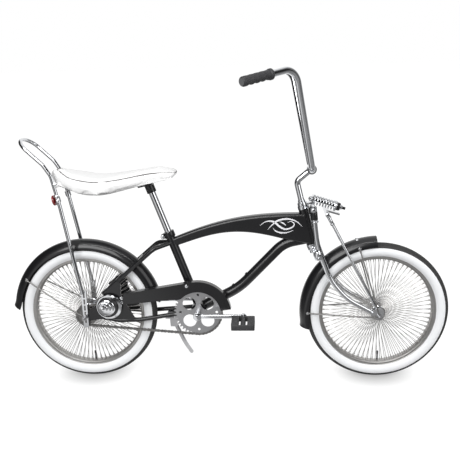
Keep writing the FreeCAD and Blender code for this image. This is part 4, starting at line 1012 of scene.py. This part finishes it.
def curveAt(rows, t):
    spans = len(rows) - 1
    k = min(int(t * spans), spans - 1)
    u = t * spans - k
    p0, p1, p2, p3 = (Vector(rows[max(0, min(spans, k + j))]) for j in (-1, 0, 1, 2))
    return 0.5 * (2 * p1 + (p2 - p0) * u + (2 * p0 - 5 * p1 + 4 * p2 - p3) * u * u
                  + (3 * p1 - p0 - 3 * p2 + p3) * u ** 3)


def makeStroke(points, widths, side):
    samples = flourish["samples"]
    fresh()
    bpy.ops.mesh.primitive_grid_add(x_subdivisions=samples, y_subdivisions=2, size=1)
    obj = bpy.context.object
    beam = frame["nodes"]["tank_beam"]
    across = toFrame.to_3x3() @ Vector((0, -side, 0))
    ordered = sorted(obj.data.vertices, key=lambda v: (round(v.co.x, 5), v.co.y))
    rows = len(ordered) // 3
    for i in range(rows):
        t = i / (rows - 1)
        middle = curveAt(points, t)
        ahead = curveAt(points, min(1.0, t + 0.01)) - curveAt(points, max(0.0, t - 0.01))
        normal = Vector((-ahead.y, ahead.x)).normalized()
        half = max(0.2, curveAt([(w, 0) for w in widths], t).x * flourish["bold"])
        for j in (-1, 0, 1):
            flat = middle + normal * half * j
            start = toFrame @ (Vector((flat.x, side * flourish["from"], flat.y)) / 1000)
            hit, place, *_ = beam.ray_cast(start, across)
            ordered[3 * i + j + 1].co = (place if hit else start) - across * flourish["rise"]
    applied(obj, "SOLIDIFY", thickness=flourish["thick"], offset=0)
    tidyNormals(obj, 0.000001)
    return obj


for side in (-1, 1):
    strokes = [makeStroke(points, widths, side) for points, widths in flourish["strokes"]]
    keepPiece(strokes, "tankFlourish" + ("Right" if side < 0 else "Left"), "frame", stripeMat,
              leaned=False, smooth=40)
print("flourish made")

# camera: fitted to the photograph, then leaned with the bicycle
view = {"spot": Vector((664.4, -2117.5, 1091.4)), "yaw": 3.583, "rise": 14.07, "roll": -1.489,
        "focal": 613.84, "frame": 460.0, "sensor": 36.0}
yaw, rise, roll = (math.radians(view[k]) for k in ("yaw", "rise", "roll"))
back = Vector((math.sin(yaw) * math.cos(rise), -math.cos(yaw) * math.cos(rise), math.sin(rise)))
right = Vector((math.cos(yaw), math.sin(yaw), 0))
over = back.cross(right)
rolledRight = right * math.cos(roll) + over * math.sin(roll)
rolledUp = over * math.cos(roll) - right * math.sin(roll)
cameraData = bpy.data.cameras.new("studioCamera")
cameraData.sensor_width = view["sensor"]
cameraData.lens = view["focal"] * view["sensor"] / view["frame"]
cameraData.clip_end = 50
camera = bpy.data.objects.new("studioCamera", cameraData)
bpy.context.scene.collection.objects.link(camera)
axes = Matrix((rolledRight, rolledUp, back)).transposed().to_4x4()
camera.matrix_world = toFrame @ Matrix.Translation(view["spot"] / 1000) @ axes
bpy.context.scene.camera = camera

# studio: a white sweep under soft lamps, with a painted contact shadow under each wheel, dim on the camera's
# own side as in a photo studio
# the three shadow entries size and darken the painted contact shadow under each wheel
studio = {"floorSize": 30.0, "floorRough": 0.9, "floorPale": 0.3, "floorDim": 0.2, "floorGlow": 0.87,
          "seenGlow": 0.83, "paintedShadowLong": 0.2, "paintedShadowDeep": 0.13, "paintedShadowDark": 0.62,
          "nearSet": 0.15, "nearFade": 0.45, "worldLight": 0.62, "dimTop": 0.72, "dimFade": 0.25,
          "cards": [(0.0, 1.0), (0.07, 1.0), (0.12, 0.03), (0.375, 0.02), (0.4, 0.75), (0.435, 0.8),
                    (0.465, 0.06), (0.76, 0.02), (0.79, 0.3), (0.83, 0.05), (0.91, 0.9), (1.0, 1.0)]}


def gentle(s, value, start, stop):
    return s.node("ShaderNodeMapRange", {"interpolation_type": "SMOOTHSTEP"},
                  {"Value": value, "From Min": start, "From Max": stop})


def cards(s, x, y):      # pale and dark cards standing round the set, by bearing
    bearing = x.math("ARCTAN2", x, y * -1) / math.tau + 0.5
    return s.node("ShaderNodeValToRGB", {"stops": studio["cards"]}, {0: bearing})


def rayKinds(s):
    rays = s.node("ShaderNodeLightPath").out.node.outputs
    return [Sock(s.tree, rays[name]) for name in ("Is Camera Ray", "Is Glossy Ray", "Is Transmission Ray")]


fresh()
bpy.ops.mesh.primitive_plane_add(size=studio["floorSize"])
floor = bpy.context.object
floor.name = "studioFloor"
floorMat = bpy.data.materials.new("studioFloor")
floorMat.use_nodes = True
floorTree = floorMat.node_tree
s = Shade(floorTree)
floorShader = floorTree.nodes["Principled BSDF"]
floorShader.inputs["Roughness"].default_value = studio["floorRough"]
floorShader.inputs["Specular IOR Level"].default_value = 0.0
floorShader.inputs["Emission Color"].default_value = (1, 1, 1, 1)
seen, glossy, clear = rayKinds(s)
place = s.node("ShaderNodeSeparateXYZ", {}, {0: s.here()}).out.node.outputs
x, y = Sock(floorTree, place[0]), Sock(floorTree, place[1])
away = gentle(s, (x * x + y * y) ** 0.5, studio["nearSet"], studio["nearSet"] + studio["nearFade"])
mirrored = 1 - away * (1 - cards(s, x, y))
# painted shadow: a soft dark ellipse under each wheel is multiplied into the floor's glow and pale tone seen
# by camera rays
shade = 1
for hub in (rearHub, frontHub):
    foot = toFrame @ (Vector((hub.x, 0, 0)) / 1000)
    reach = (((x - foot.x) / studio["paintedShadowLong"]) ** 2 + ((y - foot.y) / studio["paintedShadowDeep"]) ** 2) ** 0.5
    shade = (1 - (1 - gentle(s, reach, 0.0, 1.0)) * studio["paintedShadowDark"]) * shade
glow = (seen + clear) * shade * studio["seenGlow"] + glossy * mirrored * studio["floorGlow"]
tone = seen * shade * (studio["floorPale"] - studio["floorDim"]) + studio["floorDim"]
ground = s.node("ShaderNodeCombineXYZ", {}, {0: tone, 1: tone, 2: tone})
floorTree.links.new(ground.out, floorShader.inputs["Base Color"])
pale = s.node("ShaderNodeCombineXYZ", {}, {0: glow, 1: glow, 2: glow})
floorTree.links.new(pale.out, floorShader.inputs["Emission Color"])
floorShader.inputs["Emission Strength"].default_value = 1.0
floor.data.materials.append(floorMat)

world = bpy.data.worlds.new("studioWorld")
bpy.context.scene.world = world
world.use_nodes = True
tree = world.node_tree
s = Shade(tree)
backdrop = tree.nodes["Background"]
seen, glossy, clear = rayKinds(s)
way = s.node("ShaderNodeTexCoord", out="Generated")
ways = s.node("ShaderNodeSeparateXYZ", {}, {0: way}).out.node.outputs
x, y, z = (Sock(tree, out) for out in ways)
overhead = gentle(s, z, studio["dimTop"], studio["dimTop"] + studio["dimFade"])
mirrored = 1 - (1 - overhead) * (1 - cards(s, x, y))
spread = 1 - seen.math("MINIMUM", seen + glossy + clear, 1.0)
strength = seen + clear + glossy * mirrored + spread * studio["worldLight"]
backdrop.inputs["Color"].default_value = (1, 1, 1, 1)
tree.links.new(strength.out, backdrop.inputs["Strength"])


lamps = {      # place, aim, length, width and power
    "keyLamp": ((-1.1, -3.1, 2.4), (0, 0, 0.4), 2.8, 2.0, 92.0),
    "fillLamp": ((2.4, -1.8, 1.6), (0, 0, 0.5), 2.0, 2.0, 24.0),
    "stripLamp": ((0.0, -1.5, 2.9), (0, 0, 0.4), 3.2, 0.14, 20.0),
}
for lampName, (spot, aim, length, width, power) in lamps.items():
    data = bpy.data.lights.new(lampName, "AREA")
    data.shape, data.size, data.size_y, data.energy = "RECTANGLE", length, width, power
    lamp = bpy.data.objects.new(lampName, data)
    bpy.context.scene.collection.objects.link(lamp)
    lamp.location = spot
    lamp.rotation_mode = "QUATERNION"
    lamp.rotation_quaternion = (Vector(aim) - Vector(spot)).to_track_quat("-Z", "Y")

bpy.context.scene.view_settings.view_transform = "Standard"
print("studio set")
